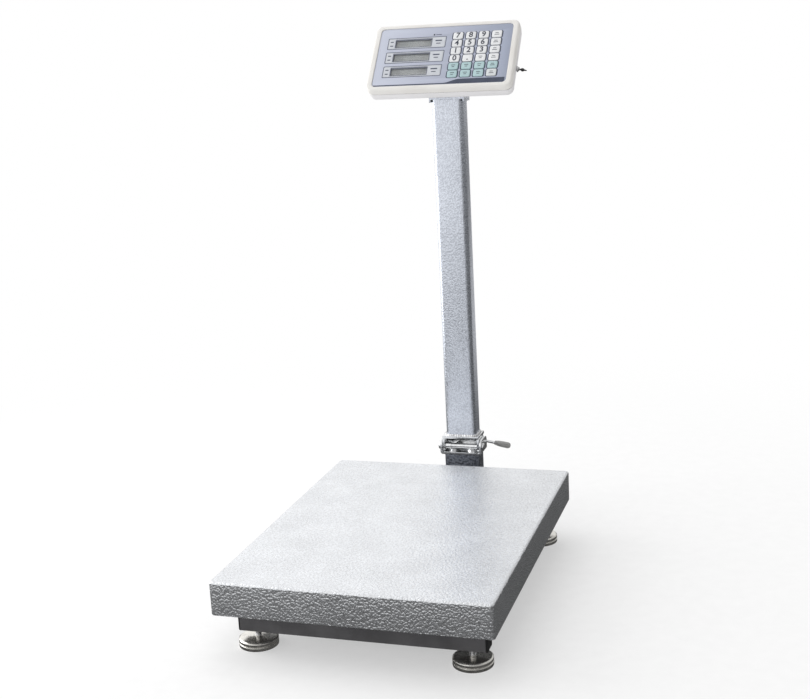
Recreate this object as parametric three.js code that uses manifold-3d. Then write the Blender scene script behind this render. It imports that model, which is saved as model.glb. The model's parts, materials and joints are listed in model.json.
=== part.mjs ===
// Counting scale: a floor platform scale with a lift-off pan, a post that folds forward over the
// pan, and a tilting head with three displays and a keypad.
// Millimetres. +X is the operator's right, +Y points from the operator to the post, +Z is up.
// The origin is on the floor, in the middle of the scale's footprint.

import * as THREE from "three";
import { mergeVertices } from "three/addons/utils/BufferGeometryUtils.js";
import Module from "manifold-3d";

const wasm = await Module();
wasm.setup();

// ---- Driving dimensions ------------------------------------------------------------------

// Weighing pan: folded sheet steel, open underneath
const panWidth = 450;
const panDepth = 600;
const panSkirt = 55;
const panSheet = 2;
const panBend = 4;
const panCorner = 6;

// Levelling feet
const footRadius = 31.5;
const footHeight = 15;
const footEdge = 1.5;
const footBandHeight = 5;
const footGrooveDepth = 1.2;
const footGrooveWidth = 0.8;
const footShoulder = 3.5;
const footCrownDrop = 1.2;
const footGap = 11;
const studRadius = 5;
const studHole = 5.2;
const studSpare = 12.5;
const studTip = 1;
const footCollar = 3;
const footInset = 24;

// Base frame: two cross tubes, a centre beam and an arm to the column
const crossTubeEndGap = 24;
const crossTubeHeight = 50;
const crossTubeDepth = 30;
const frameWall = 2.5;
const frontTubeSetback = 45;
const rearTubeSetback = 24;
const weldNutRadius = 9;
const weldNutHeight = 8;
const baseBeamWidth = 60;
const baseBeamHeight = 30;
const columnArmWidth = 60;
const columnArmGap = 5;

// Load cell between the base beam and the top frame
const cellLength = 150;
const cellWidth = 40;
const cellHeight = 30;
const cellPadLength = 40;
const lowerPadHeight = 6;
const upperPadHeight = 4;
const cellHoleRadius = 9;
const cellHoleSpacing = 34;
const cellSlotHeight = 5;

// Top frame that carries the pan
const spineWidth = 50;
const armEndGap = 33;
const armDepth = 30;
const armHeight = 20;
const armInset = 85;
const topFrameWall = 2;
const cushionRadius = 12;
const cushionHeight = 8;
const cushionInset = 15;

// Column behind the pan
const columnGap = 72;
const stubOverhang = 5;
const stubInset = 3;
const stubDrop = 2;
const stubCorner = 4;
const stubWall = 3;
const postWidth = 60;
const postDepth = 40;
const postLength = 645;
const postCorner = 9;
const postWall = 2;

// Folding hinge at the foot of the post
const hingePlate = 4;
const hingeSideRoom = 7;
const hingeOverhang = 5;
const lowerCheekGap = 3;
const lowerCheekCorner = 11;
const rearWallDrop = 3;
const rearWallGap = 3;
const postPlate = 5;
const postPlateGap = 28;
const hingeSlack = 0.7;
const hingePinRadius = 5;
const hingeFloorGap = 1;
const hingePinInset = 6;
const hingeLobeRadius = 10;
const pinSlack = 0.1;
const pinHeadRadius = 8;
const pinHeadLength = 4.5;
const pinHeadGap = 0.3;
const pinRivet = 1;
const pinCollarRadius = 6.5;
const pinCollarLength = 11;
const upperWallInset = 6;
const upperWallDrop = 4;

// Clamp lever: a screw through the hinge's rear wall, with an arm and a grip
const clampOffset = 24;
const clampScrewRadius = 4;
const clampHubRadius = 7.5;
const clampHubLength = 11;
const clampHubGap = 4;
const clampTipGap = 0.5;
const clampArmRadius = 2.8;
const clampArmDroop = 9.7;
const gripStart = 31;
const gripLength = 32;
const gripRadius = 6;
const gripNeckRadius = 3.9;
const gripBoreDepth = 18;
const gripBoreSpare = 2;
const gripSlack = 0.3;
const gripSwellAt = 9;
const gripSwell = 0.6;
const gripNose = 3.6;
const gripRounding = 1.6;

// Head bracket and pivot on top of the post
const bracketPlate = 3;
const bracketSkirt = 5;
const bracketBase = 4;
const bracketSlack = 0.3;
const pivotRise = 35;
const pivotRadius = 4;
const pivotEyeRadius = 12;
const pivotHeadRadius = 7.5;
const pivotHeadLength = 5;

// Head: front case with a face plate, rear case behind it
const bezelSide = 11.5;
const bezelTop = 9;
const headCorner = 13;
const headLean = 50;
const headDrop = 12;
const headStandOff = 20;
const frontCaseBevel = 3;
const caseSeam = 0.3;
const caseWall = 2.5;
const rearCaseRounding = 9;
const rearCaseTaper = 4;
const lugThickness = 7;
const lugSlack = 0.5;
const lugTrim = 1;
const lugRootHalf = 19.2;

// Face plate, displays and keys
const facePlateCorner = 7;
const facePlateThickness = 2;
const facePlateRecess = 1.2;
const facePlateSlack = 0.4;
const ledgeWidth = 3;
const windowWidth = 68;
const windowHeight = 16.5;
const windowCorner = 0.8;
const windowMargin = 31.5;
const windowGap = 15.3;
const windowDrop = 0.7;
const windowToKeys = 39.9;
const displayMargin = 15;
const displayMarginY = 7.5;
const displayWindowThickness = 1.2;
const displayModuleDepth = 6;
const keyColumns = 4;
const keyRows = 6;
const keyWidth = 18.5;
const keyHeight = 15.5;
const keyCorner = 3;
const keyGapX = 5.6;
const keyGapY = 1.6;
const keysMargin = 18.8;
const keysAbove = 14.9;
const keysBelow = 14.1;
const keySlack = 0.3;
const keyProud = 1.6;
const keyBevel = 0.6;
const keyTravel = 1.2;
const keyFlange = 0.55;
const keyFlangeThickness = 1;
const keyFlangeGap = 2;
const keyStem = 4;

// Parts inside the head, the power switch and the mains adaptor's inlet
const boardEdgeGap = 3.5;
const boardThickness = 1.6;
const boardFrontGap = 0.9;
const boardBackGap = 0.5;
const batteryWidth = 100;
const batteryHeight = 60;
const batteryDepth = 17;
const batteryOffsetX = 52;
const batteryOffsetY = 12;
const batteryRoom = 2.2;
const switchOffsetY = -21.6;
const switchSetback = 8.4;
const switchBushRadius = 3.6;
const switchBushReach = 5;
const switchNutRadius = 5.4;
const switchNutLength = 2;
const switchNutGap = 0.5;
const switchBodyGap = 2;
const switchBoreFloor = 5;
const switchBodyLength = 14;
const switchBodySize = 11;
const switchLeverRadius = 1.4;
const switchLeverLength = 16;
const switchLeverTip = 2.4;
const switchLeverNeck = 5;
const switchLeverSwell = 7;
const switchLeverNose = 2;
const switchLeverSeat = 2;
const switchLeverRoot = 1;
const switchDroop = 20;
const switchBore = 2.8;
const inletOffsetX = -88;
const inletOffsetY = 40;
const inletRadius = 6;
const inletFlangeRadius = 8;
const inletFlangeLength = 2;
const inletLength = 14;
const inletBoreRadius = 3.2;
const inletPinRadius = 1.1;
const inletFloor = 4;

// How far two shapes that are joined into one piece run into each other, and how far a cutting
// shape runs past the face that it cuts
const weld = 0.5;
const beyond = 1;

// ---- Heights and stations worked out from them --------------------------------------------

const radians = THREE.MathUtils.degToRad;
const frameBottom = footHeight + footGap;
const studReach = footGap + frameWall + weldNutHeight + studSpare;
const baseBeamTop = frameBottom + baseBeamHeight;
const cellBottom = baseBeamTop + lowerPadHeight;
const cellTop = cellBottom + cellHeight;
const armBottom = cellTop + upperPadHeight;
const armTop = armBottom + armHeight;
const panUnderside = armTop + cushionHeight;
const panTop = panUnderside + panSheet;

const crossTubeLength = panWidth - 2 * (panSheet + crossTubeEndGap);
const armLength = panWidth - 2 * (panSheet + armEndGap);
const columnArmHeight = panTop - panSkirt - columnArmGap - frameBottom;
const frontTubeY = -panDepth / 2 + frontTubeSetback + crossTubeDepth / 2;
const rearTubeY = panDepth / 2 - rearTubeSetback - crossTubeDepth / 2;
const topArmY = panDepth / 2 - armInset;
const footX = crossTubeLength / 2 - footInset;

const postFront = panDepth / 2 + columnGap;
const postY = postFront + postDepth / 2;
const postRear = postFront + postDepth;
const stubTop = panTop - stubDrop;
const stubWidth = postWidth + 2 * stubOverhang;
const stubDepth = postDepth - 2 * stubInset;

const hingeInnerHalf = postWidth / 2 + hingeSideRoom;
const hingeFront = postFront - hingeOverhang;
const hingeFloor = stubTop + hingePlate;
const pinY = postFront + hingePinInset;
const pinZ = hingeFloor + hingeLobeRadius + hingeFloorGap;
const upperWallRear = postRear - upperWallInset;
const lobeSweep = Math.hypot(upperWallRear - pinY, upperWallDrop);
const lowerWallFront = pinY + lobeSweep + rearWallGap;
const lowerWallRear = lowerWallFront + hingePlate;
const lowerCheekHeight = postPlateGap - lowerCheekGap;
const rearWallHeight = lowerCheekHeight - rearWallDrop;
const postPlateBottom = hingeFloor + postPlateGap;
const postBottom = postPlateBottom + postPlate;
const postTop = postBottom + postLength;
const upperHalf = hingeInnerHalf - hingeSlack;

const pivotZ = postTop + pivotRise;
const bracketHalf = postWidth / 2 + bracketSlack;

// ---- Shapes and solids --------------------------------------------------------------------

// Draws a rounded rectangle, centred on (x, y), as an outline or as a hole's path.
function roundedRect(width, height, corner, x = 0, y = 0, outline = new THREE.Shape()) {
  const right = width / 2 - corner;
  const top = height / 2 - corner;
  outline.absarc(x + right, y + top, corner, 0, Math.PI / 2);
  outline.absarc(x - right, y + top, corner, Math.PI / 2, Math.PI);
  outline.absarc(x - right, y - top, corner, Math.PI, 1.5 * Math.PI);
  outline.absarc(x + right, y - top, corner, 1.5 * Math.PI, 2 * Math.PI);
  outline.closePath();
  return outline;
}

const roundedHole = (width, height, corner, x, y) =>
  roundedRect(width, height, corner, x, y, new THREE.Path());

// A block given by its centre in plan and the height of its underside.
function block(width, depth, height, x, y, bottom) {
  return new THREE.BoxGeometry(width, depth, height).translate(x, y, bottom + height / 2);
}

// An outline in X and Y, pulled up from bottom.
function prism(outline, height, bottom = 0, curveSegments = 4) {
  const options = { depth: height, bevelEnabled: false, curveSegments };
  return new THREE.ExtrudeGeometry(outline, options).translate(0, 0, bottom);
}

// An outline in Y and Z, pulled along X from x = left.
function sidePlate(outline, thickness, left, curveSegments = 6) {
  const options = { depth: thickness, bevelEnabled: false, curveSegments };
  const geometry = new THREE.ExtrudeGeometry(outline, options);
  geometry.rotateX(Math.PI / 2).rotateZ(Math.PI / 2);
  return geometry.translate(left, 0, 0);
}

// A round bar centred on (x, y, z), along one of the axes.
function bar(radius, length, axis, x, y, z, sides = 20) {
  const geometry = new THREE.CylinderGeometry(radius, radius, length, sides);
  if (axis === "x") geometry.rotateZ(-Math.PI / 2);
  if (axis === "z") geometry.rotateX(Math.PI / 2);
  return geometry.translate(x, y, z);
}

// A turned piece: pairs of radius and height, from the axis to the axis, about Z.
function turned(profile, sides = 20) {
  const points = profile.map(([radius, height]) => new THREE.Vector2(radius, height));
  return new THREE.LatheGeometry(points, sides).rotateX(Math.PI / 2);
}

function solidOf(geometry) {
  const bare = geometry.clone();
  bare.deleteAttribute("normal");
  bare.deleteAttribute("uv");
  const merged = mergeVertices(bare, 1e-4);
  const mesh = new wasm.Mesh({
    numProp: 3,
    vertProperties: merged.attributes.position.array,
    triVerts: new Uint32Array(merged.index.array),
  });
  return new wasm.Manifold(mesh);
}

function geometryOf(solid) {
  const mesh = solid.getMesh();
  const geometry = new THREE.BufferGeometry();
  geometry.setAttribute("position", new THREE.BufferAttribute(mesh.vertProperties, 3));
  geometry.setIndex(new THREE.BufferAttribute(mesh.triVerts, 1));
  const faceted = geometry.toNonIndexed();
  faceted.computeVertexNormals();
  return faceted;
}

function join(first, ...others) {
  let solid = solidOf(first);
  for (const other of others) {
    solid = solid.add(solidOf(other));
  }
  return geometryOf(solid);
}

function cut(geometry, ...tools) {
  let solid = solidOf(geometry);
  for (const tool of tools) {
    solid = solid.subtract(solidOf(tool));
  }
  return geometryOf(solid);
}

// ---- Materials ----------------------------------------------------------------------------

const finish = (color, roughness, metalness) =>
  new THREE.MeshStandardMaterial({ color, roughness, metalness });

const hammertone = finish(0xa9adb2, 0.42, 0.6);
const framePaint = finish(0x55565a, 0.55, 0.2);
const chrome = finish(0xd8dadc, 0.16, 1);
const steel = finish(0x8d9094, 0.35, 0.9);
const aluminium = finish(0xb8bbbf, 0.4, 0.9);
const rubber = finish(0x1b1b1c, 0.8, 0);
const gripPlastic = finish(0x8a8c8e, 0.5, 0);
const casePlastic = finish(0xe6e4da, 0.45, 0);
const facePrint = finish(0xa9b1c2, 0.4, 0.1);
const keyWhite = finish(0xd9dee6, 0.45, 0);
const keyTeal = finish(0xb4cbd0, 0.45, 0);
const clearPlastic = finish(0xc9d0d2, 0.1, 0);
const displayGrey = finish(0xa3a79f, 0.3, 0);
const boardGreen = finish(0x2c5a3a, 0.6, 0);
const blackPlastic = finish(0x17181a, 0.45, 0);

function named(name, geometry, material) {
  const mesh = new THREE.Mesh(geometry, material);
  mesh.name = name;
  return mesh;
}

// ---- Feet ---------------------------------------------------------------------------------

// A turned disc with a groove round its rim, and the threaded stud that goes up into the frame.
function foot() {
  const rim = footRadius;
  const groove = footRadius - footGrooveDepth;
  const crown = footHeight;
  const studTop = crown + studReach;
  return turned([
    [0, 0],
    [rim - footEdge, 0],
    [rim, footEdge],
    [rim, footBandHeight],
    [groove, footBandHeight + footGrooveWidth],
    [groove, footBandHeight + 2 * footGrooveWidth],
    [rim, footBandHeight + 3 * footGrooveWidth],
    [rim, crown - footShoulder],
    [rim - footEdge, crown - footCrownDrop],
    [studRadius + footCollar, crown],
    [studRadius, crown],
    [studRadius, studTop - studTip],
    [studRadius - studTip, studTop],
    [0, studTop],
  ]);
}

const footPlaces = [
  ["front_left", -footX, frontTubeY],
  ["front_right", footX, frontTubeY],
  ["rear_left", -footX, rearTubeY],
  ["rear_right", footX, rearTubeY],
];

function feet() {
  const group = new THREE.Group();
  for (const [place, x, y] of footPlaces) {
    const mesh = named(`foot_${place}`, foot(), steel);
    mesh.position.set(x, y, 0);
    group.add(mesh);
  }
  return group;
}

// ---- Base frame ---------------------------------------------------------------------------

// An open-ended rectangular tube along X.
function tubeAlongX(length, depth, height, wall, y, bottom) {
  const outer = block(length, depth, height, 0, y, bottom);
  const bore = block(length + 2 * beyond, depth - 2 * wall, height - 2 * wall, 0, y, bottom + wall);
  return cut(outer, bore);
}

// An open-ended rectangular tube along Y.
function tubeAlongY(width, from, to, height, wall, bottom) {
  const middle = (from + to) / 2;
  const outer = block(width, to - from, height, 0, middle, bottom);
  const through = to - from + 2 * beyond;
  const bore = block(width - 2 * wall, through, height - 2 * wall, 0, middle, bottom + wall);
  return cut(outer, bore);
}

// A cross tube with a nut welded over each foot's hole.
function crossTube(y) {
  const tube = tubeAlongX(crossTubeLength, crossTubeDepth, crossTubeHeight, frameWall, y, frameBottom);
  const nutMiddle = frameBottom + frameWall + weldNutHeight / 2;
  const nuts = [-footX, footX].map((x) => bar(weldNutRadius, weldNutHeight, "z", x, y, nutMiddle, 6));
  const holes = [-footX, footX].map((x) =>
    bar(studHole, 2 * (frameWall + weldNutHeight + beyond), "z", x, y, frameBottom),
  );
  return cut(join(tube, ...nuts), ...holes);
}

function baseBeam() {
  const from = frontTubeY + crossTubeDepth / 2;
  const to = rearTubeY - crossTubeDepth / 2;
  const beam = tubeAlongY(baseBeamWidth, from, to, baseBeamHeight, frameWall, frameBottom);
  const padY = cellLength / 2 - cellPadLength / 2;
  const pad = block(cellWidth, cellPadLength, lowerPadHeight + weld, 0, padY, baseBeamTop - weld);
  return join(beam, pad);
}

function columnArm() {
  const from = rearTubeY + crossTubeDepth / 2;
  const to = postY - stubDepth / 2;
  return tubeAlongY(columnArmWidth, from, to, columnArmHeight, frameWall, frameBottom);
}

// A short tube that stands on the end of the arm and carries the hinge.
function columnStub() {
  const outline = roundedRect(stubWidth, stubDepth, stubCorner, 0, postY);
  const innerCorner = stubCorner - stubWall / 2;
  outline.holes.push(
    roundedHole(stubWidth - 2 * stubWall, stubDepth - 2 * stubWall, innerCorner, 0, postY),
  );
  return prism(outline, stubTop - frameBottom, frameBottom);
}

function baseFrame() {
  const group = new THREE.Group();
  group.add(named("front_cross_tube", crossTube(frontTubeY), framePaint));
  group.add(named("rear_cross_tube", crossTube(rearTubeY), framePaint));
  group.add(named("base_beam", baseBeam(), framePaint));
  group.add(named("column_arm", columnArm(), framePaint));
  group.add(named("column_stub", columnStub(), hammertone));
  return group;
}

// ---- Load cell and top frame --------------------------------------------------------------

// A single-point cell: two joined round holes through the block leave it thin where it bends.
function loadCell() {
  const middle = cellBottom + cellHeight / 2;
  const body = block(cellWidth, cellLength, cellHeight, 0, 0, cellBottom);
  const through = cellWidth + 2 * beyond;
  const holes = [-1, 1].map((side) =>
    bar(cellHoleRadius, through, "x", 0, (side * cellHoleSpacing) / 2, middle),
  );
  const slotBottom = middle - cellSlotHeight / 2;
  const slot = block(through, cellHoleSpacing, cellSlotHeight, 0, 0, slotBottom);
  return cut(body, ...holes, slot);
}

function topSpine() {
  const end = topArmY - armDepth / 2;
  const spine = tubeAlongY(spineWidth, -end, end, armHeight, topFrameWall, armBottom);
  const padY = -cellLength / 2 + cellPadLength / 2;
  const pad = block(cellWidth, cellPadLength, upperPadHeight + weld, 0, padY, cellTop);
  return join(spine, pad);
}

function topArm(y) {
  return tubeAlongX(armLength, armDepth, armHeight, topFrameWall, y, armBottom);
}

function topFrame() {
  const group = new THREE.Group();
  group.add(named("load_cell", loadCell(), aluminium));
  group.add(named("top_spine", topSpine(), framePaint));
  group.add(named("top_arm_front", topArm(-topArmY), framePaint));
  group.add(named("top_arm_rear", topArm(topArmY), framePaint));
  const cushionX = armLength / 2 - cushionInset;
  for (const [depthName, y] of [["front", -topArmY], ["rear", topArmY]]) {
    for (const [sideName, x] of [["left", -cushionX], ["right", cushionX]]) {
      const pad = bar(cushionRadius, cushionHeight, "z", x, y, armTop + cushionHeight / 2);
      group.add(named(`pan_cushion_${depthName}_${sideName}`, pad, rubber));
    }
  }
  return group;
}

// ---- Pan ----------------------------------------------------------------------------------

// A shallow box with rounded upper edges; its lower half is trimmed away to leave the skirt.
function panBlock(width, depth, height, corner, bend, top) {
  const outline = roundedRect(width - 2 * bend, depth - 2 * bend, corner - bend);
  const options = {
    depth: height - bend,
    bevelEnabled: true,
    bevelThickness: bend,
    bevelSize: bend,
    bevelSegments: 2,
    curveSegments: 2,
  };
  const rounded = new THREE.ExtrudeGeometry(outline, options).translate(0, 0, top - height);
  const around = 2 * beyond;
  const below = block(width + around, depth + around, 2 * bend, 0, 0, top - height - 2 * bend);
  return cut(rounded, below);
}

function pan() {
  const outer = panBlock(panWidth, panDepth, panSkirt, panCorner, panBend, panTop);
  const innerWidth = panWidth - 2 * panSheet;
  const innerDepth = panDepth - 2 * panSheet;
  const innerBend = panBend - panSheet;
  const innerHeight = panSkirt - panSheet + beyond;
  const innerCorner = panCorner - panSheet;
  const inner = panBlock(innerWidth, innerDepth, innerHeight, innerCorner, innerBend, panUnderside);
  return named("pan", cut(outer, inner), hammertone);
}

// ---- Folding hinge ------------------------------------------------------------------------

// Fixed half: a floor plate on the stub, two cheeks that hold the pin, and a low rear wall.
function lowerBracket() {
  const half = hingeInnerHalf + hingePlate;
  const depth = lowerWallRear - hingeFront;
  const middleY = (lowerWallRear + hingeFront) / 2;
  const plate = block(2 * half, depth, hingePlate, 0, middleY, stubTop);
  const wallMiddle = lowerWallFront + hingePlate / 2;
  const wall = block(2 * half, hingePlate, hingePlate + rearWallHeight, 0, wallMiddle, stubTop);
  const top = hingeFloor + lowerCheekHeight;
  const cheek = new THREE.Shape();
  cheek.moveTo(hingeFront, stubTop);
  cheek.lineTo(lowerWallRear, stubTop);
  cheek.lineTo(lowerWallRear, top - lowerCheekCorner);
  const corner = lowerCheekCorner;
  cheek.absarc(lowerWallRear - corner, top - corner, corner, 0, Math.PI / 2);
  cheek.absarc(hingeFront + corner, top - corner, corner, Math.PI / 2, Math.PI);
  cheek.closePath();
  const cheeks = [-half, hingeInnerHalf].map((left) => sidePlate(cheek, hingePlate, left));
  const pinBore = bar(hingePinRadius + pinSlack, 2 * (half + beyond), "x", 0, pinY, pinZ);
  const through = hingePlate + 2 * beyond;
  const screwBore = bar(clampScrewRadius + pinSlack, through, "y", clampOffset, wallMiddle, pinZ);
  return cut(join(plate, wall, ...cheeks), pinBore, screwBore);
}

// Moving half: the plate under the post, two inner cheeks round the pin, and a rear wall.
function upperBracket() {
  const plateDepth = postRear - hingeFront;
  const plateY = (postRear + hingeFront) / 2;
  const plate = block(2 * upperHalf, plateDepth, postPlate, 0, plateY, postPlateBottom);
  const wallBottom = pinZ - upperWallDrop;
  const wallY = upperWallRear - hingePlate / 2;
  const wallHeight = postPlateBottom - wallBottom + weld;
  const wall = block(2 * upperHalf, hingePlate, wallHeight, 0, wallY, wallBottom);
  const front = pinY - hingeLobeRadius;
  const cheek = new THREE.Shape();
  cheek.moveTo(front, postPlateBottom + weld);
  cheek.lineTo(front, pinZ);
  cheek.absarc(pinY, pinZ, hingeLobeRadius, Math.PI, 1.5 * Math.PI);
  cheek.lineTo(pinY + hingeLobeRadius, wallBottom);
  cheek.lineTo(upperWallRear, wallBottom);
  cheek.lineTo(upperWallRear, postPlateBottom + weld);
  cheek.closePath();
  const cheeks = [-upperHalf, upperHalf - hingePlate].map((left) => sidePlate(cheek, hingePlate, left));
  const bore = bar(hingePinRadius + pinSlack, 2 * (upperHalf + beyond), "x", 0, pinY, pinZ);
  return cut(join(plate, wall, ...cheeks), bore);
}

// A headed pin with a spacer collar between the cheeks and a riveted end.
function hingePin() {
  const outer = hingeInnerHalf + hingePlate + pinHeadGap;
  const collarMiddle = -upperHalf + hingePlate + hingeSlack + pinCollarLength / 2;
  const shaft = bar(hingePinRadius, 2 * outer, "x", 0, pinY, pinZ);
  const headX = -outer - pinHeadLength / 2;
  const head = bar(pinHeadRadius, pinHeadLength, "x", headX, pinY, pinZ);
  const endLength = pinHeadLength - pinRivet;
  const end = bar(pinHeadRadius - pinRivet, endLength, "x", outer + endLength / 2, pinY, pinZ);
  const collar = bar(pinCollarRadius, pinCollarLength, "x", collarMiddle, pinY, pinZ);
  return join(shaft, head, end, collar);
}

// The screw, its hub and its bent-down arm are one turned and welded piece.
function clampLever() {
  const tip = upperWallRear + clampTipGap;
  const hubFront = lowerWallRear + clampHubGap;
  const hubRear = hubFront + clampHubLength;
  const screwMiddle = (tip + hubRear) / 2;
  const screw = bar(clampScrewRadius, hubRear - tip - weld, "y", 0, screwMiddle - weld / 2, 0);
  const hubMiddle = (hubFront + hubRear) / 2;
  const hub = bar(clampHubRadius, clampHubLength, "y", 0, hubMiddle, 0);
  const armLong = gripStart + gripBoreDepth - gripBoreSpare;
  const arm = bar(clampArmRadius, armLong, "x", armLong / 2, hubMiddle, 0, 16);
  return join(screw, hub, arm);
}

// A tapered handle, bored at its neck so that it slides over the arm.
function leverGrip() {
  const bore = clampArmRadius + gripSlack;
  const grip = turned(
    [
      [0, gripBoreDepth],
      [bore, gripBoreDepth],
      [bore, 0],
      [gripNeckRadius, 0],
      [gripRadius - gripSwell, gripSwellAt],
      [gripRadius, 2 * gripSwellAt],
      [gripRadius, gripLength - gripNose],
      [gripRadius - gripRounding, gripLength - gripRounding],
      [gripRadius - gripNose, gripLength],
      [0, gripLength],
    ],
    20,
  );
  return grip.rotateY(Math.PI / 2);
}

function clampGroup() {
  const hubMiddle = lowerWallRear + clampHubGap + clampHubLength / 2;
  const group = new THREE.Group();
  group.position.set(clampOffset, 0, pinZ);
  group.rotation.y = radians(clampArmDroop);
  group.add(named("clamp_lever", clampLever(), chrome));
  const grip = named("lever_grip", leverGrip(), gripPlastic);
  grip.position.set(gripStart, hubMiddle, 0);
  group.add(grip);
  return group;
}

// ---- Post and head bracket ----------------------------------------------------------------

function postTube() {
  const outline = roundedRect(postWidth, postDepth, postCorner, 0, postY);
  const bore = roundedHole(
    postWidth - 2 * postWall,
    postDepth - 2 * postWall,
    postCorner - postWall,
    0,
    postY,
  );
  outline.holes.push(bore);
  return prism(outline, postLength, postBottom, 4);
}

// Two side plates that run up the post to the pivot, joined by a plate across the post's top.
function headBracket() {
  const outerHalf = bracketHalf + bracketPlate;
  const bottom = postTop - bracketSkirt;
  const side = new THREE.Shape();
  side.moveTo(postFront, bottom);
  side.lineTo(postRear, bottom);
  side.lineTo(postRear, postTop + bracketBase);
  side.absarc(postY, pivotZ, pivotEyeRadius, 0, Math.PI);
  side.lineTo(postFront, postTop + bracketBase);
  side.closePath();
  const sides = [-outerHalf, bracketHalf].map((left) => sidePlate(side, bracketPlate, left));
  const base = block(2 * outerHalf, postDepth, bracketBase, 0, postY, postTop);
  const bore = bar(pivotRadius + pinSlack, 2 * (outerHalf + beyond), "x", 0, postY, pivotZ);
  return cut(join(base, ...sides), bore);
}

function pivotBolt() {
  const outer = bracketHalf + bracketPlate + pinHeadGap;
  const shaft = bar(pivotRadius, 2 * outer, "x", 0, postY, pivotZ);
  const heads = [-1, 1].map((side) => {
    const x = side * (outer + pivotHeadLength / 2);
    return bar(pivotHeadRadius, pivotHeadLength, "x", x, postY, pivotZ, 6);
  });
  return join(shaft, ...heads);
}

function column() {
  const group = new THREE.Group();
  group.add(named("hinge_lower_bracket", lowerBracket(), chrome));
  group.add(named("hinge_upper_bracket", upperBracket(), chrome));
  group.add(named("hinge_pin", hingePin(), chrome));
  group.add(clampGroup());
  group.add(named("post_tube", postTube(), hammertone));
  group.add(named("head_bracket", headBracket(), framePaint));
  group.add(named("head_pivot_bolt", pivotBolt(), steel));
  return group;
}

// ---- Head ---------------------------------------------------------------------------------
// The head is drawn lying on its back: X to the right, Y up its face, Z out of its face,
// with the origin in the middle of the bezel's front. The pivot is headDrop below and
// headStandOff behind the rear case.

const keyPitchX = keyWidth + keyGapX;
const keyPitchY = keyHeight + keyGapY;
const keypadWidth = keyColumns * keyPitchX - keyGapX;
const keypadHeight = keyRows * keyPitchY - keyGapY;
const facePlateWidth = windowMargin + windowWidth + windowToKeys + keypadWidth + keysMargin;
const facePlateHeight = keysAbove + keypadHeight + keysBelow;
const headWidth = facePlateWidth + 2 * bezelSide;
const headHeight = facePlateHeight + 2 * bezelTop;
const keypadX = facePlateWidth / 2 - keysMargin - keypadWidth / 2;
const keypadY = (keysBelow - keysAbove) / 2;
const windowX = -facePlateWidth / 2 + windowMargin + windowWidth / 2;
const windowY = keypadY - windowDrop;
const windowPitch = windowHeight + windowGap;
const displaysWidth = windowWidth + 2 * displayMargin;
const displaysHeight = 3 * windowPitch - windowGap + 2 * displayMarginY;

const facePlateTop = -facePlateRecess;
const facePlateBottom = facePlateTop - facePlateThickness;
const ledgeTop = facePlateBottom - caseSeam;
const windowBack = facePlateBottom - caseSeam - displayWindowThickness;
const moduleBack = windowBack - caseSeam - displayModuleDepth;
const boardTop = moduleBack - boardFrontGap;
const boardBottom = boardTop - boardThickness;
const frontCaseDepth = boardBackGap - boardBottom;
const batteryFront = -frontCaseDepth - caseSeam;
const batteryBack = batteryFront - batteryDepth;
const headDepth = batteryRoom + caseWall - batteryBack;
const headPivotZ = -(headDepth + headStandOff);
const switchZ = -(frontCaseDepth + switchSetback);
const openingWidth = facePlateWidth - 2 * ledgeWidth;
const openingHeight = facePlateHeight - 2 * ledgeWidth;

function forEachKey(visit) {
  for (let row = 0; row < keyRows; row += 1) {
    for (let column = 0; column < keyColumns; column += 1) {
      const x = keypadX + (column - (keyColumns - 1) / 2) * keyPitchX;
      const y = keypadY + ((keyRows - 1) / 2 - row) * keyPitchY;
      visit(row, column, x, y);
    }
  }
}

// A block with rounded corners from z = back to z = front, and rounded edges beyond both.
function casing(width, height, corner, rounding, taper, back, front, steps = 2) {
  const outline = roundedRect(width - 2 * taper, height - 2 * taper, corner - taper);
  const options = {
    depth: front - back,
    bevelEnabled: true,
    bevelThickness: rounding,
    bevelSize: taper,
    bevelSegments: steps,
    curveSegments: steps + 1,
  };
  return new THREE.ExtrudeGeometry(outline, options).translate(0, 0, back);
}

// The bezel: a rounded frame with a rebate for the face plate and a ledge behind it.
function frontCase() {
  const rounded = casing(
    headWidth,
    headHeight,
    headCorner,
    frontCaseBevel,
    frontCaseBevel,
    -frontCaseDepth - frontCaseBevel,
    -frontCaseBevel,
  );
  const widthAround = headWidth + 2 * beyond;
  const heightAround = headHeight + 2 * beyond;
  const trim = frontCaseBevel * 2 + beyond;
  const behind = block(widthAround, heightAround, trim, 0, 0, -frontCaseDepth - trim);
  const rebate = prism(
    roundedRect(
      facePlateWidth + 2 * facePlateSlack,
      facePlateHeight + 2 * facePlateSlack,
      facePlateCorner + facePlateSlack,
    ),
    frontCaseDepth,
    ledgeTop,
  );
  const opening = prism(
    roundedRect(openingWidth, openingHeight, facePlateCorner),
    frontCaseDepth + 2 * beyond,
    -frontCaseDepth - beyond,
  );
  return cut(rounded, behind, rebate, opening);
}

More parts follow.
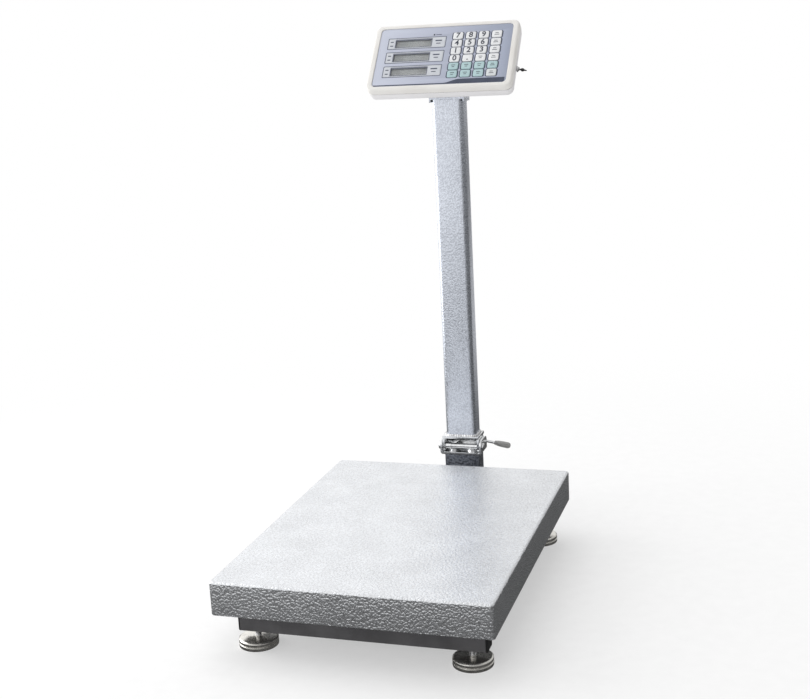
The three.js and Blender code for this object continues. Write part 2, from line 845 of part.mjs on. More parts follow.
// The tray behind: rounded rear edges, a hollow inside, and two lugs for the pivot.
function rearCase() {
  const front = -frontCaseDepth - caseSeam;
  const outer = casing(
    headWidth,
    headHeight,
    headCorner,
    rearCaseRounding,
    rearCaseTaper,
    -headDepth + rearCaseRounding,
    front,
  );
  const widthAround = headWidth + 2 * beyond;
  const heightAround = headHeight + 2 * beyond;
  const ahead = block(widthAround, heightAround, rearCaseRounding + beyond, 0, 0, front);
  const inner = casing(
    headWidth - 2 * caseWall,
    headHeight - 2 * caseWall,
    headCorner - caseWall,
    rearCaseRounding,
    rearCaseTaper,
    -headDepth + caseWall + rearCaseRounding,
    front + beyond,
  );
  const lug = new THREE.Shape();
  const root = -headDepth + weld;
  lug.moveTo(-headDrop + lugRootHalf, root);
  lug.lineTo(-headDrop - lugRootHalf, root);
  lug.absarc(-headDrop, headPivotZ, pivotEyeRadius - lugTrim, Math.PI, 2 * Math.PI);
  lug.closePath();
  const lugOuter = bracketHalf - lugSlack;
  const lugs = [-lugOuter, lugOuter - lugThickness].map((left) => sidePlate(lug, lugThickness, left));
  const pivotBoreLength = 2 * (lugOuter + beyond);
  const pivotBore = bar(pivotRadius + pinSlack, pivotBoreLength, "x", 0, -headDrop, headPivotZ);
  const through = 2 * (caseWall + rearCaseTaper);
  const switchHoleRadius = switchBushRadius + caseSeam;
  const switchHole = bar(switchHoleRadius, through, "x", headWidth / 2, switchOffsetY, switchZ);
  const inletHoleRadius = inletRadius + caseSeam;
  const inletHole = bar(inletHoleRadius, through, "z", inletOffsetX, inletOffsetY, -headDepth);
  const shell = cut(outer, ahead, inner);
  return cut(join(shell, ...lugs), pivotBore, switchHole, inletHole);
}

function facePlate() {
  const outline = roundedRect(facePlateWidth, facePlateHeight, facePlateCorner);
  forEachKey((row, column, x, y) => {
    const width = keyWidth + 2 * keySlack;
    const height = keyHeight + 2 * keySlack;
    outline.holes.push(roundedHole(width, height, keyCorner, x, y));
  });
  for (const step of [-1, 0, 1]) {
    const y = windowY + step * windowPitch;
    outline.holes.push(roundedHole(windowWidth, windowHeight, windowCorner, windowX, y));
  }
  return prism(outline, facePlateThickness, facePlateBottom, 2);
}

// A cap with a bevelled top, a flange that keeps it in and a stem down to its contact.
function keyCap() {
  const top = facePlateTop + keyProud;
  const flangeTop = facePlateBottom - keyFlangeGap;
  const cap = casing(
    keyWidth,
    keyHeight,
    keyCorner,
    keyBevel,
    keyBevel,
    flangeTop - weld,
    top - keyBevel,
    1,
  );
  const flangeWidth = keyWidth + 2 * keyFlange;
  const flangeHeight = keyHeight + 2 * keyFlange;
  const flangeBottom = flangeTop - keyFlangeThickness;
  const trim = keyBevel + beyond;
  const below = block(
    keyWidth + 2 * beyond,
    keyHeight + 2 * beyond,
    trim,
    0,
    0,
    flangeTop - weld - trim,
  );
  const flange = block(flangeWidth, flangeHeight, keyFlangeThickness, 0, 0, flangeBottom);
  const stemBottom = boardTop + keyTravel + keySlack;
  const stem = block(keyStem, keyStem, flangeBottom - stemBottom + weld, 0, 0, stemBottom);
  return join(cut(cap, below), flange, stem);
}

function powerSwitch() {
  const wallX = headWidth / 2;
  const inside = wallX - caseWall - switchBodyGap;
  const body = block(switchBodyLength, switchBodySize, switchBodySize, 0, 0, 0);
  body.translate(inside - switchBodyLength / 2, 0, -switchBodySize / 2);
  const bushLength = wallX + switchBushReach - inside + weld;
  const bush = bar(switchBushRadius, bushLength, "x", inside - weld + bushLength / 2, 0, 0);
  const nutX = wallX + switchNutGap + switchNutLength / 2;
  const nut = bar(switchNutRadius, switchNutLength, "x", nutX, 0, 0, 6);
  const bore = bar(switchBore, bushLength, "x", inside + switchBoreFloor + bushLength / 2, 0, 0);
  return cut(join(body, bush, nut), bore).translate(0, switchOffsetY, switchZ);
}

// The lever pivots at the mouth of its bush and widens towards its tip.
function switchLever() {
  const tip = switchLeverTip;
  const lever = turned([
    [0, -switchLeverRoot],
    [switchLeverRadius, -switchLeverRoot],
    [switchLeverRadius, switchLeverNeck],
    [tip, switchLeverLength - switchLeverSwell],
    [tip, switchLeverLength - switchLeverNose],
    [tip - switchLeverNose / 2, switchLeverLength],
    [0, switchLeverLength],
  ], 16);
  return lever.rotateY(Math.PI / 2);
}

// A round socket with a centre pin, pushed in from behind.
function powerInlet() {
  const back = -headDepth - inletFlangeLength - caseSeam;
  const front = back + inletLength;
  const socket = turned([
    [0, back + inletFlangeLength],
    [inletPinRadius, back + inletFlangeLength],
    [inletPinRadius, front - inletFloor],
    [inletBoreRadius, front - inletFloor],
    [inletBoreRadius, back],
    [inletFlangeRadius, back],
    [inletFlangeRadius, back + inletFlangeLength],
    [inletRadius, back + inletFlangeLength],
    [inletRadius, front],
    [0, front],
  ]);
  return socket.translate(inletOffsetX, inletOffsetY, 0);
}

function head() {
  const group = new THREE.Group();
  const lean = radians(headLean);
  const pivot = new THREE.Vector3(0, -headDrop, headPivotZ).applyAxisAngle(
    new THREE.Vector3(1, 0, 0),
    lean,
  );
  group.rotation.x = lean;
  group.position.set(0, postY - pivot.y, pivotZ - pivot.z);

  group.add(named("head_front_case", frontCase(), casePlastic));
  group.add(named("head_rear_case", rearCase(), casePlastic));
  group.add(named("face_plate", facePlate(), facePrint));

  const clear = block(
    displaysWidth,
    displaysHeight,
    displayWindowThickness,
    windowX,
    windowY,
    windowBack,
  );
  group.add(named("display_window", clear, clearPlastic));
  const displays = block(
    displaysWidth,
    displaysHeight,
    displayModuleDepth,
    windowX,
    windowY,
    moduleBack,
  );
  group.add(named("lcd_module", displays, displayGrey));

  const boardWidth = openingWidth - 2 * boardEdgeGap;
  const boardHeight = openingHeight - 2 * boardEdgeGap;
  const board = block(boardWidth, boardHeight, boardThickness, 0, 0, boardBottom);
  group.add(named("main_board", board, boardGreen));
  const battery = block(
    batteryWidth,
    batteryHeight,
    batteryDepth,
    batteryOffsetX,
    batteryOffsetY,
    batteryBack,
  );
  group.add(named("battery", battery, blackPlastic));

  group.add(named("power_switch", powerSwitch(), steel));
  const lever = named("switch_lever", switchLever(), blackPlastic);
  const leverX = headWidth / 2 + switchBushReach - switchLeverSeat;
  lever.position.set(leverX, switchOffsetY, switchZ);
  lever.rotation.z = -radians(switchDroop);
  group.add(lever);
  group.add(named("power_inlet", powerInlet(), blackPlastic));

  forEachKey((row, column, x, y) => {
    const teal = row >= keyRows - 2 && !(row === keyRows - 1 && column === keyColumns - 1);
    const key = named(`key_r${row + 1}c${column + 1}`, keyCap(), teal ? keyTeal : keyWhite);
    key.position.set(x, y, 0);
    group.add(key);
  });
  return group;
}

// ---- Assembly -----------------------------------------------------------------------------

const scale = new THREE.Group();
scale.add(feet(), baseFrame(), topFrame(), pan(), column(), head());
scale.updateMatrixWorld(true);
const footprint = new THREE.Box3().setFromObject(scale, true);
scale.position.y = -(footprint.min.y + footprint.max.y) / 2;

export default scale;
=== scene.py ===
"""Counting scale: the finished look of a floor platform scale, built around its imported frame."""

import json
import math
import random

import bmesh
import bpy
from mathutils import Matrix, Vector


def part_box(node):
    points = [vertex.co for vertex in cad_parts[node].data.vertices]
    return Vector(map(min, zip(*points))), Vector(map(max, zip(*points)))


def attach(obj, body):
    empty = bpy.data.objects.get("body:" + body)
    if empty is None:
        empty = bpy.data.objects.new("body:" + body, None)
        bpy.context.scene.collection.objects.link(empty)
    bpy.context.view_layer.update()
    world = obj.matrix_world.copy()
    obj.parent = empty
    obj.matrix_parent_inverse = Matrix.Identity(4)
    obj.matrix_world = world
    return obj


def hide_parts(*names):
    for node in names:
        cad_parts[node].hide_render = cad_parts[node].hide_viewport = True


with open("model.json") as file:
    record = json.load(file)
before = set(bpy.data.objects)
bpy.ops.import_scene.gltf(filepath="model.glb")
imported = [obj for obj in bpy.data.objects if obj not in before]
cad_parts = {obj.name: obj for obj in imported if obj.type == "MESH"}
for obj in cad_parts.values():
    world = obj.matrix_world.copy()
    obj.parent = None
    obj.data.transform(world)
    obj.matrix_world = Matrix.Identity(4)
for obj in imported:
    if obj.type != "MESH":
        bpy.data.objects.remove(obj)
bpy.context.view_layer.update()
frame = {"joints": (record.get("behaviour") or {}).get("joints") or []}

# ---- Camera -------------------------------------------------------------------------------
# The camera stands in front of the scale and to its right, at the height of the head,
# and looks down at the pan.


def linked(name, data):
    """An object with this data, put in the scene."""
    made = bpy.data.objects.new(name, data)
    bpy.context.scene.collection.objects.link(made)
    return made


camera_place = Vector((0.6636, -2.0727, 0.9307))
camera_turn = math.radians(17.89)
camera_dip = math.radians(13.47)
camera_roll = math.radians(-3.0)

camera_data = bpy.data.cameras.new("camera")
camera_data.sensor_width = 36
camera_data.lens = 58.94
camera_data.clip_end = 60
camera = linked("camera", camera_data)
camera.matrix_world = (
    Matrix.Translation(camera_place)
    @ Matrix.Rotation(camera_turn, 4, "Z")
    @ Matrix.Rotation(math.pi / 2 - camera_dip, 4, "X")
    @ Matrix.Rotation(camera_roll, 4, "Z")
)
bpy.context.scene.camera = camera
bpy.context.scene.view_settings.view_transform = "Standard"

# ---- Studio -------------------------------------------------------------------------------
# A plain pale floor under a soft white sky. The sky is bright overhead, behind and on the
# left, and dim on the right, and a tall soft box on the left gives the post its bright edge.


def node(tree, kind, sockets=None, **settings):
    """Adds a shader node. sockets gives its inputs, as values or as other nodes' outputs."""
    made = tree.nodes.new("ShaderNode" + kind)
    for key, value in settings.items():
        setattr(made, key, value)
    for key, value in (sockets or {}).items():
        if isinstance(value, bpy.types.NodeSocket):
            tree.links.new(value, made.inputs[key])
        else:
            made.inputs[key].default_value = value
    return made


def ramp(tree, factor, *stops, smooth=False):
    """A colour ramp on factor. stops are pairs of a place and a grey, or a place and a colour."""
    made = node(tree, "ValToRGB", {"Fac": factor})
    made.color_ramp.interpolation = "EASE" if smooth else "LINEAR"
    while len(made.color_ramp.elements) < len(stops):
        made.color_ramp.elements.new(0.5)
    for element, (place, colour) in zip(made.color_ramp.elements, stops):
        element.position = place
        grey = isinstance(colour, (int, float))
        element.color = (colour, colour, colour, 1) if grey else (*colour, 1)
    return made.outputs["Color"]


def noise(tree, where, scale, detail):
    """Soft noise from 0 to 1."""
    sockets = {"Vector": where, "Scale": scale, "Detail": detail}
    return node(tree, "TexNoise", sockets).outputs["Fac"]


def blended(tree, one, other, way):
    """Two colours added or multiplied."""
    sockets = {"Factor": 1.0, "A": one, "B": other}
    return node(tree, "Mix", sockets, data_type="RGBA", blend_type=way).outputs["Result"]


def spread(tree, value, low, high):
    """Maps value from a range onto 0 to 1."""
    return node(tree, "MapRange", {"Value": value, "From Min": low, "From Max": high}).outputs["Result"]


def light_the_sky():
    """A soft sky that is brighter on the left. Seen directly, it is plain white."""
    world = bpy.data.worlds.new("studio")
    bpy.context.scene.world = world
    world.use_nodes = True
    tree = world.node_tree
    tree.nodes.clear()
    direction = node(tree, "SeparateXYZ", {0: node(tree, "TexCoord").outputs["Generated"]})
    sideways = spread(tree, direction.outputs["X"], -1.0, 1.0)
    across = ramp(tree, sideways, (0.0, 1.0), (0.33, 0.97), (0.45, 0.66), (0.68, 0.5), (0.9, 0.3))
    upward = spread(tree, direction.outputs["Z"], 0.0, 1.0)
    above = ramp(tree, upward, (0.0, 0.15), (0.5, 0.2), (1.0, 0.12))
    soft = node(tree, "Background", {"Color": blended(tree, across, above, "ADD"), "Strength": 0.95})
    plain = node(tree, "Background", {"Color": (1, 1, 1, 1), "Strength": 1.0})
    seen = node(tree, "LightPath").outputs["Is Camera Ray"]
    both = node(tree, "MixShader", {0: seen, 1: soft.outputs[0], 2: plain.outputs[0]})
    node(tree, "OutputWorld", {"Surface": both.outputs[0]})


def lay_the_floor():
    """A round sheet of pale paper, staged so that it looks different to the metal's reflections."""
    radius = 14
    bm = bmesh.new()
    bmesh.ops.create_circle(bm, cap_ends=True, segments=96, radius=radius)
    mesh = bpy.data.meshes.new("floor")
    bm.to_mesh(mesh)
    bm.free()
    floor = linked("floor", mesh)
    paper = bpy.data.materials.new("floor_paper")
    paper.use_nodes = True
    tree = paper.node_tree
    where = node(tree, "TexCoord").outputs["Object"]
    shade = ramp(tree, noise(tree, where, 40.0, 4.0), (0.3, 0.93), (0.7, 0.97))
    shader = tree.nodes["Principled BSDF"]
    tree.links.new(shade, shader.inputs["Base Color"])
    shader.inputs["Roughness"].default_value = 0.9
    shader.inputs["Specular IOR Level"].default_value = 0.1
    # The paper fades to plain white with distance, so that it has no edge against the sky.
    away = node(tree, "VectorMath", {0: where}, operation="LENGTH").outputs["Value"]
    distance = spread(tree, away, 0.0, 4.0)
    fade = ramp(tree, distance, (0.1, 0.45), (0.42, 1.0), smooth=True)
    white = node(tree, "Emission", {"Color": (1, 1, 1, 1), "Strength": 1.0})
    faded = node(tree, "MixShader", {0: fade, 1: shader.outputs[0], 2: white.outputs[0]})
    # In the metal it shows dark close by and on the right, and bright further off.
    mirrored = ramp(tree, distance, (0.12, 0.10), (0.24, 0.16), (0.5, 1.0))
    sideways = node(tree, "SeparateXYZ", {0: where}).outputs["X"]
    rightward = spread(tree, sideways, -2.0, 2.0)
    dim = ramp(tree, rightward, (0.2, 0.72), (0.4, 0.62), (0.55, 0.45), (0.72, 0.35), (0.85, 0.05))
    tone = blended(tree, mirrored, dim, "MULTIPLY")
    glow = node(tree, "Emission", {"Color": tone, "Strength": 1.5})
    reflected = node(tree, "LightPath").outputs["Is Glossy Ray"]
    both = node(tree, "MixShader", {0: reflected, 1: faded.outputs[0], 2: glow.outputs[0]})
    tree.links.new(both.outputs[0], tree.nodes["Material Output"].inputs["Surface"])
    mesh.materials.append(paper)


def soft_box(name, width, height, place, target, power):
    """A rectangular lamp at a place, turned to a target."""
    data = bpy.data.lights.new(name, "AREA")
    data.shape = "RECTANGLE"
    data.size = width
    data.size_y = height
    data.energy = power
    lamp = linked(name, data)
    lamp.location = place
    lamp.rotation_euler = (Vector(target) - Vector(place)).to_track_quat("-Z", "Y").to_euler()
    lamp.visible_camera = False
    return lamp


light_the_sky()
lay_the_floor()
soft_box("left_box", 1.3, 2.4, (-1.9, -0.1, 0.95), (0, 0.2, 0.9), 20)
top_box = soft_box("top_box", 2.2, 2.2, (-0.4, 0.9, 2.9), (0, 0, 0.1), 16)
top_box.visible_glossy = False

# ---- Pan ----------------------------------------------------------------------------------
# The weighing pan is a tray of 2 mm sheet steel, folded down round its edges and closed at
# the corners, stove enamelled in silver hammertone. It lies loose on four rubber cushions.


def rounded(width, depth, corner, height, x=0.0, y=0.0, steps=8):
    """The points of a rounded rectangle in plan, at one height."""
    points = []
    for quarter in range(4):
        side_x = 1 if quarter in (0, 3) else -1
        side_y = 1 if quarter in (0, 1) else -1
        middle_x = x + side_x * (width / 2 - corner)
        middle_y = y + side_y * (depth / 2 - corner)
        for step in range(steps + 1):
            angle = (quarter + step / steps) * math.pi / 2
            point = (middle_x + corner * math.cos(angle), middle_y + corner * math.sin(angle), height)
            points.append(point)
    return points


def skin(bm, pairs):
    """Joins pairs of rings, which have equally many points, with bands of faces."""
    for low, high in pairs:
        for i in range(len(low)):
            after = (i + 1) % len(low)
            bm.faces.new((low[i], low[after], high[after], high[i]))


def inset_ring(width, depth, corner, inset, height, x=0.0, y=0.0):
    """A rounded rectangle in plan, that far inside another."""
    return rounded(width - 2 * inset, depth - 2 * inset, corner - inset, height, x, y)


def loft(rings, loop=False):
    """A closed mesh through rings of equally many points. A loop joins its last ring to its first."""
    bm = bmesh.new()
    rows = [[bm.verts.new(point) for point in ring] for ring in rings]
    pairs = list(zip(rows, rows[1:]))
    if loop:
        pairs.append((rows[-1], rows[0]))
    skin(bm, pairs)
    if not loop:
        bm.faces.new(reversed(rows[0]))
        bm.faces.new(rows[-1])
    bmesh.ops.recalc_face_normals(bm, faces=bm.faces)
    return bm


def piece(name, bm, body, finish, place=None, crease=32, replaces=()):
    """Turns a bmesh into a finished piece that rides on a body."""
    if place is not None:
        bm.transform(place)
    mesh = bpy.data.meshes.new(name)
    bm.to_mesh(mesh)
    bm.free()
    for polygon in mesh.polygons:
        polygon.use_smooth = True
    mesh.set_sharp_from_angle(angle=math.radians(crease))
    mesh.materials.append(finish)
    made = linked(name, mesh)
    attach(made, body)
    if replaces:
        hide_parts(*replaces)
    return made


def surface(name, roughness, metallic=0.0, **values):
    """A material with its shader's uniform numbers set, its nodes, its shader and the place."""
    made = bpy.data.materials.new(name)
    made.use_nodes = True
    shader = made.node_tree.nodes["Principled BSDF"]
    shader.inputs["Roughness"].default_value = roughness
    shader.inputs["Metallic"].default_value = metallic
    for key, value in values.items():
        shader.inputs[key.replace("_", " ")].default_value = value
    where = node(made.node_tree, "TexCoord").outputs["Object"]
    return made, made.node_tree, shader, where


def tint(tree, shader, factor, *stops):
    """Colours the surface by a ramp on factor."""
    tree.links.new(ramp(tree, factor, *stops), shader.inputs["Base Color"])


def dull(tree, shader, factor, *stops):
    """Sets the surface's roughness by a ramp on factor."""
    tree.links.new(ramp(tree, factor, *stops), shader.inputs["Roughness"])


def bumped(tree, shader, height, distance, strength=1.0, over=None):
    """Raises the surface by height, on top of another bump if there is one."""
    sockets = {"Height": height, "Distance": distance, "Strength": strength}
    if over is not None:
        sockets["Normal"] = over.outputs["Normal"]
    made = node(tree, "Bump", sockets)
    tree.links.new(made.outputs["Normal"], shader.inputs["Normal"])
    return made


def hammertone_enamel(name, light, dark, cell=0.0042, metal=0.93, depth=0.0005):
    """Silver enamel that dries into shallow lumps about 4 mm across, with dark rings between."""
    made, tree, shader, where = surface(name, 0.3, metal, Coat_Weight=0.1, Coat_Roughness=0.2)
    drift = node(tree, "TexNoise", {"Vector": where, "Scale": 0.55 / cell, "Detail": 2.0})
    sway = (cell * 1.1, cell * 1.1, cell * 1.1)
    warped = node(
        tree, "VectorMath", {0: drift.outputs["Color"], 1: sway, 2: where}, operation="MULTIPLY_ADD"
    ).outputs[0]
    lumps = node(
        tree,
        "TexVoronoi",
        {"Vector": warped, "Scale": 1 / cell, "Smoothness": 0.35},
        feature="SMOOTH_F1",
    ).outputs["Distance"]
    fine = noise(tree, where, 2.6 / cell, 3.0)
    cloud = noise(tree, where, 14.0, 3.0)
    height = ramp(tree, lumps, (0.0, 1.0), (0.35, 0.75), (0.75, 0.0), smooth=True)
    ground = ramp(tree, lumps, (0.35, light), (0.8, dark))
    patches = ramp(tree, cloud, (0.35, 0.92), (0.65, 1.0))
    tree.links.new(blended(tree, ground, patches, "MULTIPLY"), shader.inputs["Base Color"])
    dull(tree, shader, fine, (0.3, 0.2), (0.75, 0.36))
    first = bumped(tree, shader, height, depth, 0.6)
    bumped(tree, shader, fine, 0.00012, 0.35, first)
    return made


pan_light = (0.88, 0.90, 0.93)
pan_dark = (0.79, 0.80, 0.82)
hammertone = hammertone_enamel("hammertone", pan_light, pan_dark, 0.0038, depth=0.00075)

pan_low, pan_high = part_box("pan")
pan_size = pan_high - pan_low
pan_middle = (pan_high + pan_low) / 2
sheet = 0.002
pan_bend = 0.004
pan_corner = 0.006
least_corner = 0.0012
bend_steps = 8


def tray_rings(shrink, bend, top, bottom, corner):
    """Rings up one side of the tray: straight skirt, then the bend, then the flat."""
    width = pan_size.x - 2 * shrink
    depth = pan_size.y - 2 * shrink
    rings = [rounded(width, depth, corner, bottom, pan_middle.x, pan_middle.y)]
    for step in range(bend_steps + 1):
        angle = step / bend_steps * math.pi / 2
        inset = bend * (1 - math.cos(angle))
        height = top - bend * (1 - math.sin(angle))
        radius = max(corner - inset, least_corner)
        ring = rounded(width - 2 * inset, depth - 2 * inset, radius, height, pan_middle.x, pan_middle.y)
        rings.append(ring)
    flat_width = width - 2 * (bend + 0.002)
    flat_depth = depth - 2 * (bend + 0.002)
    rings.append(rounded(flat_width, flat_depth, least_corner, top, pan_middle.x, pan_middle.y))
    return rings


hem = 0.0005
inside = tray_rings(sheet, pan_bend - sheet, pan_high.z - sheet, pan_low.z + hem, pan_corner - sheet)
outside = tray_rings(0, pan_bend, pan_high.z, pan_low.z + hem, pan_corner)
hem_rings = [
    inset_ring(pan_size.x, pan_size.y, pan_corner, inset, pan_low.z, pan_middle.x, pan_middle.y)
    for inset in (sheet - hem, hem)
]
tray = loft(list(reversed(inside)) + hem_rings + outside)
piece("pan_tray", tray, "pan", hammertone, replaces=["pan"])

# ---- Levelling feet -----------------------------------------------------------------------
# Each foot is a turned steel disc, nickel plated, with a groove round its rim and an M10
# stud pressed into it. The stud screws into a nut in the cross tube.


def turned(profile, steps=72):
    """A piece turned about Z from pairs of radius and height, between two points on the axis."""
    bm = bmesh.new()
    foot_point = bm.verts.new((0, 0, profile[0][1]))
    head_point = bm.verts.new((0, 0, profile[-1][1]))
    rows = []
    for radius, height in profile[1:-1]:
        row = []
        for step in range(steps):
            angle = step / steps * 2 * math.pi
            row.append(bm.verts.new((radius * math.cos(angle), radius * math.sin(angle), height)))
        rows.append(row)
    skin(bm, zip(rows, rows[1:]))
    for i in range(steps):
        after = (i + 1) % steps
        bm.faces.new((rows[0][after], rows[0][i], foot_point))
        bm.faces.new((rows[-1][i], rows[-1][after], head_point))
    bmesh.ops.recalc_face_normals(bm, faces=bm.faces)
    return bm


def softened(profile, radius, steps=4):
    """The same turned profile with each inner corner rounded."""
    made = [profile[0]]
    for before, corner, after in zip(profile, profile[1:], profile[2:]):
        here = Vector(corner)
        back = Vector(before) - here
        ahead = Vector(after) - here
        reach = min(radius, back.length * 0.45, ahead.length * 0.45)
        if reach < 1e-6:
            made.append(corner)
            continue
        start = here + back.normalized() * reach
        end = here + ahead.normalized() * reach
        for step in range(steps + 1):
            t = step / steps
            made.append(tuple(start * (1 - t) ** 2 + here * 2 * t * (1 - t) + end * t**2))
    made.append(profile[-1])
    return made


def thread(radius, pitch, bottom, top, steps=40):
    """A threaded rod about Z: a real helical ridge, with plain ends."""
    bm = bmesh.new()
    depth = pitch * 0.45
    count = int((top - bottom) / (pitch / 6))
    rows = []
    for i in range(count + 1):
        height = bottom + (top - bottom) * i / count
        fade = min(1, (height - bottom) / pitch, (top - height) / pitch)
        row = []
        for step in range(steps):
            angle = step / steps * 2 * math.pi
            phase = ((height - bottom) / pitch - step / steps) % 1
            ridge = 1 - abs(2 * phase - 1)
            r = radius - depth + depth * ridge * fade
            row.append(bm.verts.new((r * math.cos(angle), r * math.sin(angle), height)))
        rows.append(row)
    skin(bm, zip(rows, rows[1:]))
    bm.faces.new(reversed(rows[0]))
    bm.faces.new(rows[-1])
    bmesh.ops.recalc_face_normals(bm, faces=bm.faces)
    return bm


def turned_nickel(name, light):
    """Plated steel with the fine rings that turning leaves, and dull smudges."""
    made, tree, shader, where = surface(name, 0.24, 1.0)
    smudge = noise(tree, where, 70.0, 4.0)
    dull(tree, shader, smudge, (0.3, 0.17), (0.7, 0.34))
    darker = tuple(0.78 * part for part in light)
    tint(tree, shader, smudge, (0.3, darker), (0.65, light))
    height = node(tree, "SeparateXYZ", {0: where}).outputs["Z"]
    rings = node(tree, "Math", {0: height, 1: 5200.0}, operation="MULTIPLY").outputs[0]
    lines = node(tree, "TexNoise", {"W": rings, "Scale": 1.0}, noise_dimensions="1D").outputs["Fac"]
    bumped(tree, shader, lines, 0.00003, 0.5)
    return made


nickel = turned_nickel("turned_nickel", (0.90, 0.88, 0.83))
bright_thread = turned_nickel("bright_thread", (0.80, 0.80, 0.81))


def underside(low, high):
    """The middle of a box's underside."""
    return Vector(((low.x + high.x) / 2, (low.y + high.y) / 2, low.z))


foot_names = [f"foot_{end}_{side}" for end in ("front", "rear") for side in ("left", "right")]
foot_radius = 0.0315
foot_height = 0.015
groove_height = 0.0066
groove_depth = 0.0013
stud_radius = 0.005
stud_pitch = 0.0015
for foot in foot_names:
    low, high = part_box(foot)
    rim = [
        (0, 0.0004),
        (foot_radius - 0.006, 0.0004),
        (foot_radius - 0.005, 0),
        (foot_radius, 0),
        (foot_radius, groove_height - 0.0012),
        (foot_radius - groove_depth, groove_height - 0.0006),
        (foot_radius - groove_depth, groove_height + 0.0004),
        (foot_radius, groove_height + 0.001),
        (foot_radius, foot_height - 0.0032),
        (foot_radius - 0.0022, foot_height - 0.0012),
        (stud_radius + 0.0045, foot_height - 0.0004),
        (stud_radius + 0.004, foot_height),
        (stud_radius - 0.0006, foot_height),
        (0, foot_height),
    ]
    disc = turned(softened(rim, 0.0007))
    place = Matrix.Translation(underside(low, high))
    piece(f"{foot}_disc", disc, foot, nickel, place, replaces=[foot])
    stud = thread(stud_radius, stud_pitch, foot_height - 0.001, high.z - low.z)
    piece(f"{foot}_stud", stud, foot, bright_thread, place)

# ---- Base frame ---------------------------------------------------------------------------
# Two cross tubes carry the feet, a flat beam joins them, and an arm runs back to the column.
# They are welded steel box section in smooth dark grey paint; black plugs close the ends.


def tube_ring(low, high, axis, corner, shrink, along):
    """A ring round a tube's section, that far along its axis and that far in from its faces."""
    size = high - low
    middle = (high + low) / 2
    first, second = [i for i in range(3) if i != axis]
    points = []
    width = size[first] - 2 * shrink
    depth = size[second] - 2 * shrink
    for u, v, w in rounded(width, depth, max(corner - shrink, 0.0006), 0):
        point = [0.0, 0.0, 0.0]
        point[first] = middle[first] + u
        point[second] = middle[second] + v
        point[axis] = along
        points.append(tuple(point))
    return points


def box_tube(low, high, axis, corner, wall):
    """An open-ended tube along one axis, with rounded edges, between two corners of its box."""
    lip = 0.0003
    start, end = low[axis], high[axis]
    steps = [(lip, start), (0, start + lip), (0, end - lip), (lip, end)]
    steps += [(wall - lip, end), (wall, end - lip), (wall, start + lip), (wall - lip, start)]
    rings = [tube_ring(low, high, axis, corner, shrink, along) for shrink, along in steps]
    return loft(rings, loop=True)


def end_plug(low, high, axis, side, corner, wall, thickness=0.003):
    """A moulded plug: a domed flange over the tube's end, and a block pushed into the bore."""
    end = high[axis] if side > 0 else low[axis]
    slack = 0.0002
    steps = [
        (wall + slack, -0.012),
        (wall + slack, -slack),
        (0.0, slack),
        (0.0, thickness * 0.5),
        (0.0008, thickness * 0.85),
        (0.0022, thickness),
        (0.006, thickness),
    ]
    return loft([tube_ring(low, high, axis, corner, shrink, end + side * out) for shrink, out in steps])


def smooth_paint(name, colour, roughness):
    """Sprayed paint: faint orange peel, a little uneven gloss, and dust in its colour."""
    made, tree, shader, where = surface(name, roughness, 0.0, Coat_Weight=0.12, Coat_Roughness=0.3)
    peel = noise(tree, where, 420.0, 2.0)
    cloud = noise(tree, where, 26.0, 5.0)
    darker = tuple(0.72 * part for part in colour)
    tint(tree, shader, cloud, (0.32, darker), (0.68, colour))
    dull(tree, shader, cloud, (0.3, roughness - 0.08), (0.7, roughness + 0.1))
    bumped(tree, shader, peel, 0.00006, 0.5)
    return made


def moulded_plastic(name, colour, roughness, grain=900.0, depth=0.00003):
    """Moulded plastic with an eroded-mould grain and slightly uneven colour."""
    made, tree, shader, where = surface(name, roughness)
    texture = noise(tree, where, grain, 3.0)
    cloud = noise(tree, where, 18.0, 3.0)
    darker = tuple(0.93 * part for part in colour)
    tint(tree, shader, cloud, (0.35, darker), (0.65, colour))
    dull(tree, shader, texture, (0.3, roughness - 0.05), (0.7, roughness + 0.07))
    bumped(tree, shader, texture, depth, 0.6)
    return made


frame_paint = smooth_paint("frame_paint", (0.105, 0.103, 0.108), 0.4)
black_plastic = moulded_plastic("black_plastic", (0.014, 0.014, 0.015), 0.42)


def tube_piece(name, axis, corner, wall, body="base", finish=frame_paint, box=None):
    """A tube that stands for the node of that name, in the node's box or in the one given."""
    low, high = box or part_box(name)
    section = box_tube(low, high, axis, corner, wall)
    piece(f"{name}_section", section, body, finish, replaces=[name])


tube_corner = 0.003
tube_wall = 0.0025
beam_depth = 0.030
nut_height = 0.008
nut_radius = 0.009
nut_profile = [
    (0, 0),
    (nut_radius - 0.0005, 0),
    (nut_radius, 0.001),
    (nut_radius, nut_height - 0.001),
    (nut_radius - 0.0005, nut_height),
    (0, nut_height),
]
for tube in ("front_cross_tube", "rear_cross_tube"):
    low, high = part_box(tube)
    tube_piece(tube, 0, tube_corner, tube_wall)
    for side, side_name in ((-1, "left"), (1, "right")):
        plug = end_plug(low, high, 0, side, tube_corner, tube_wall)
        piece(f"{tube}_plug_{side_name}", plug, "base", black_plastic)
        spot = underside(*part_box(f"foot_{tube.split('_')[0]}_{side_name}"))
        spot.z = low.z + tube_wall
        nut = turned(softened(nut_profile, 0.0004), 6)
        piece(f"{tube}_nut_{side_name}", nut, "base", bright_thread, Matrix.Translation(spot))

beam_low, beam_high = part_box("base_beam")
beam_top = beam_high.z
beam_high.z = beam_low.z + beam_depth
tube_piece("base_beam", 1, tube_corner, tube_wall, box=(beam_low, beam_high))
tube_piece("column_arm", 1, tube_corner, tube_wall)

# ---- Load cell and top frame --------------------------------------------------------------
# A milled aluminium bending beam, screwed to a pad on the base beam at its rear end and to
# one on the top frame at its front. The top frame is an H of welded tube, and four rubber
# cushions on its arms carry the pan.


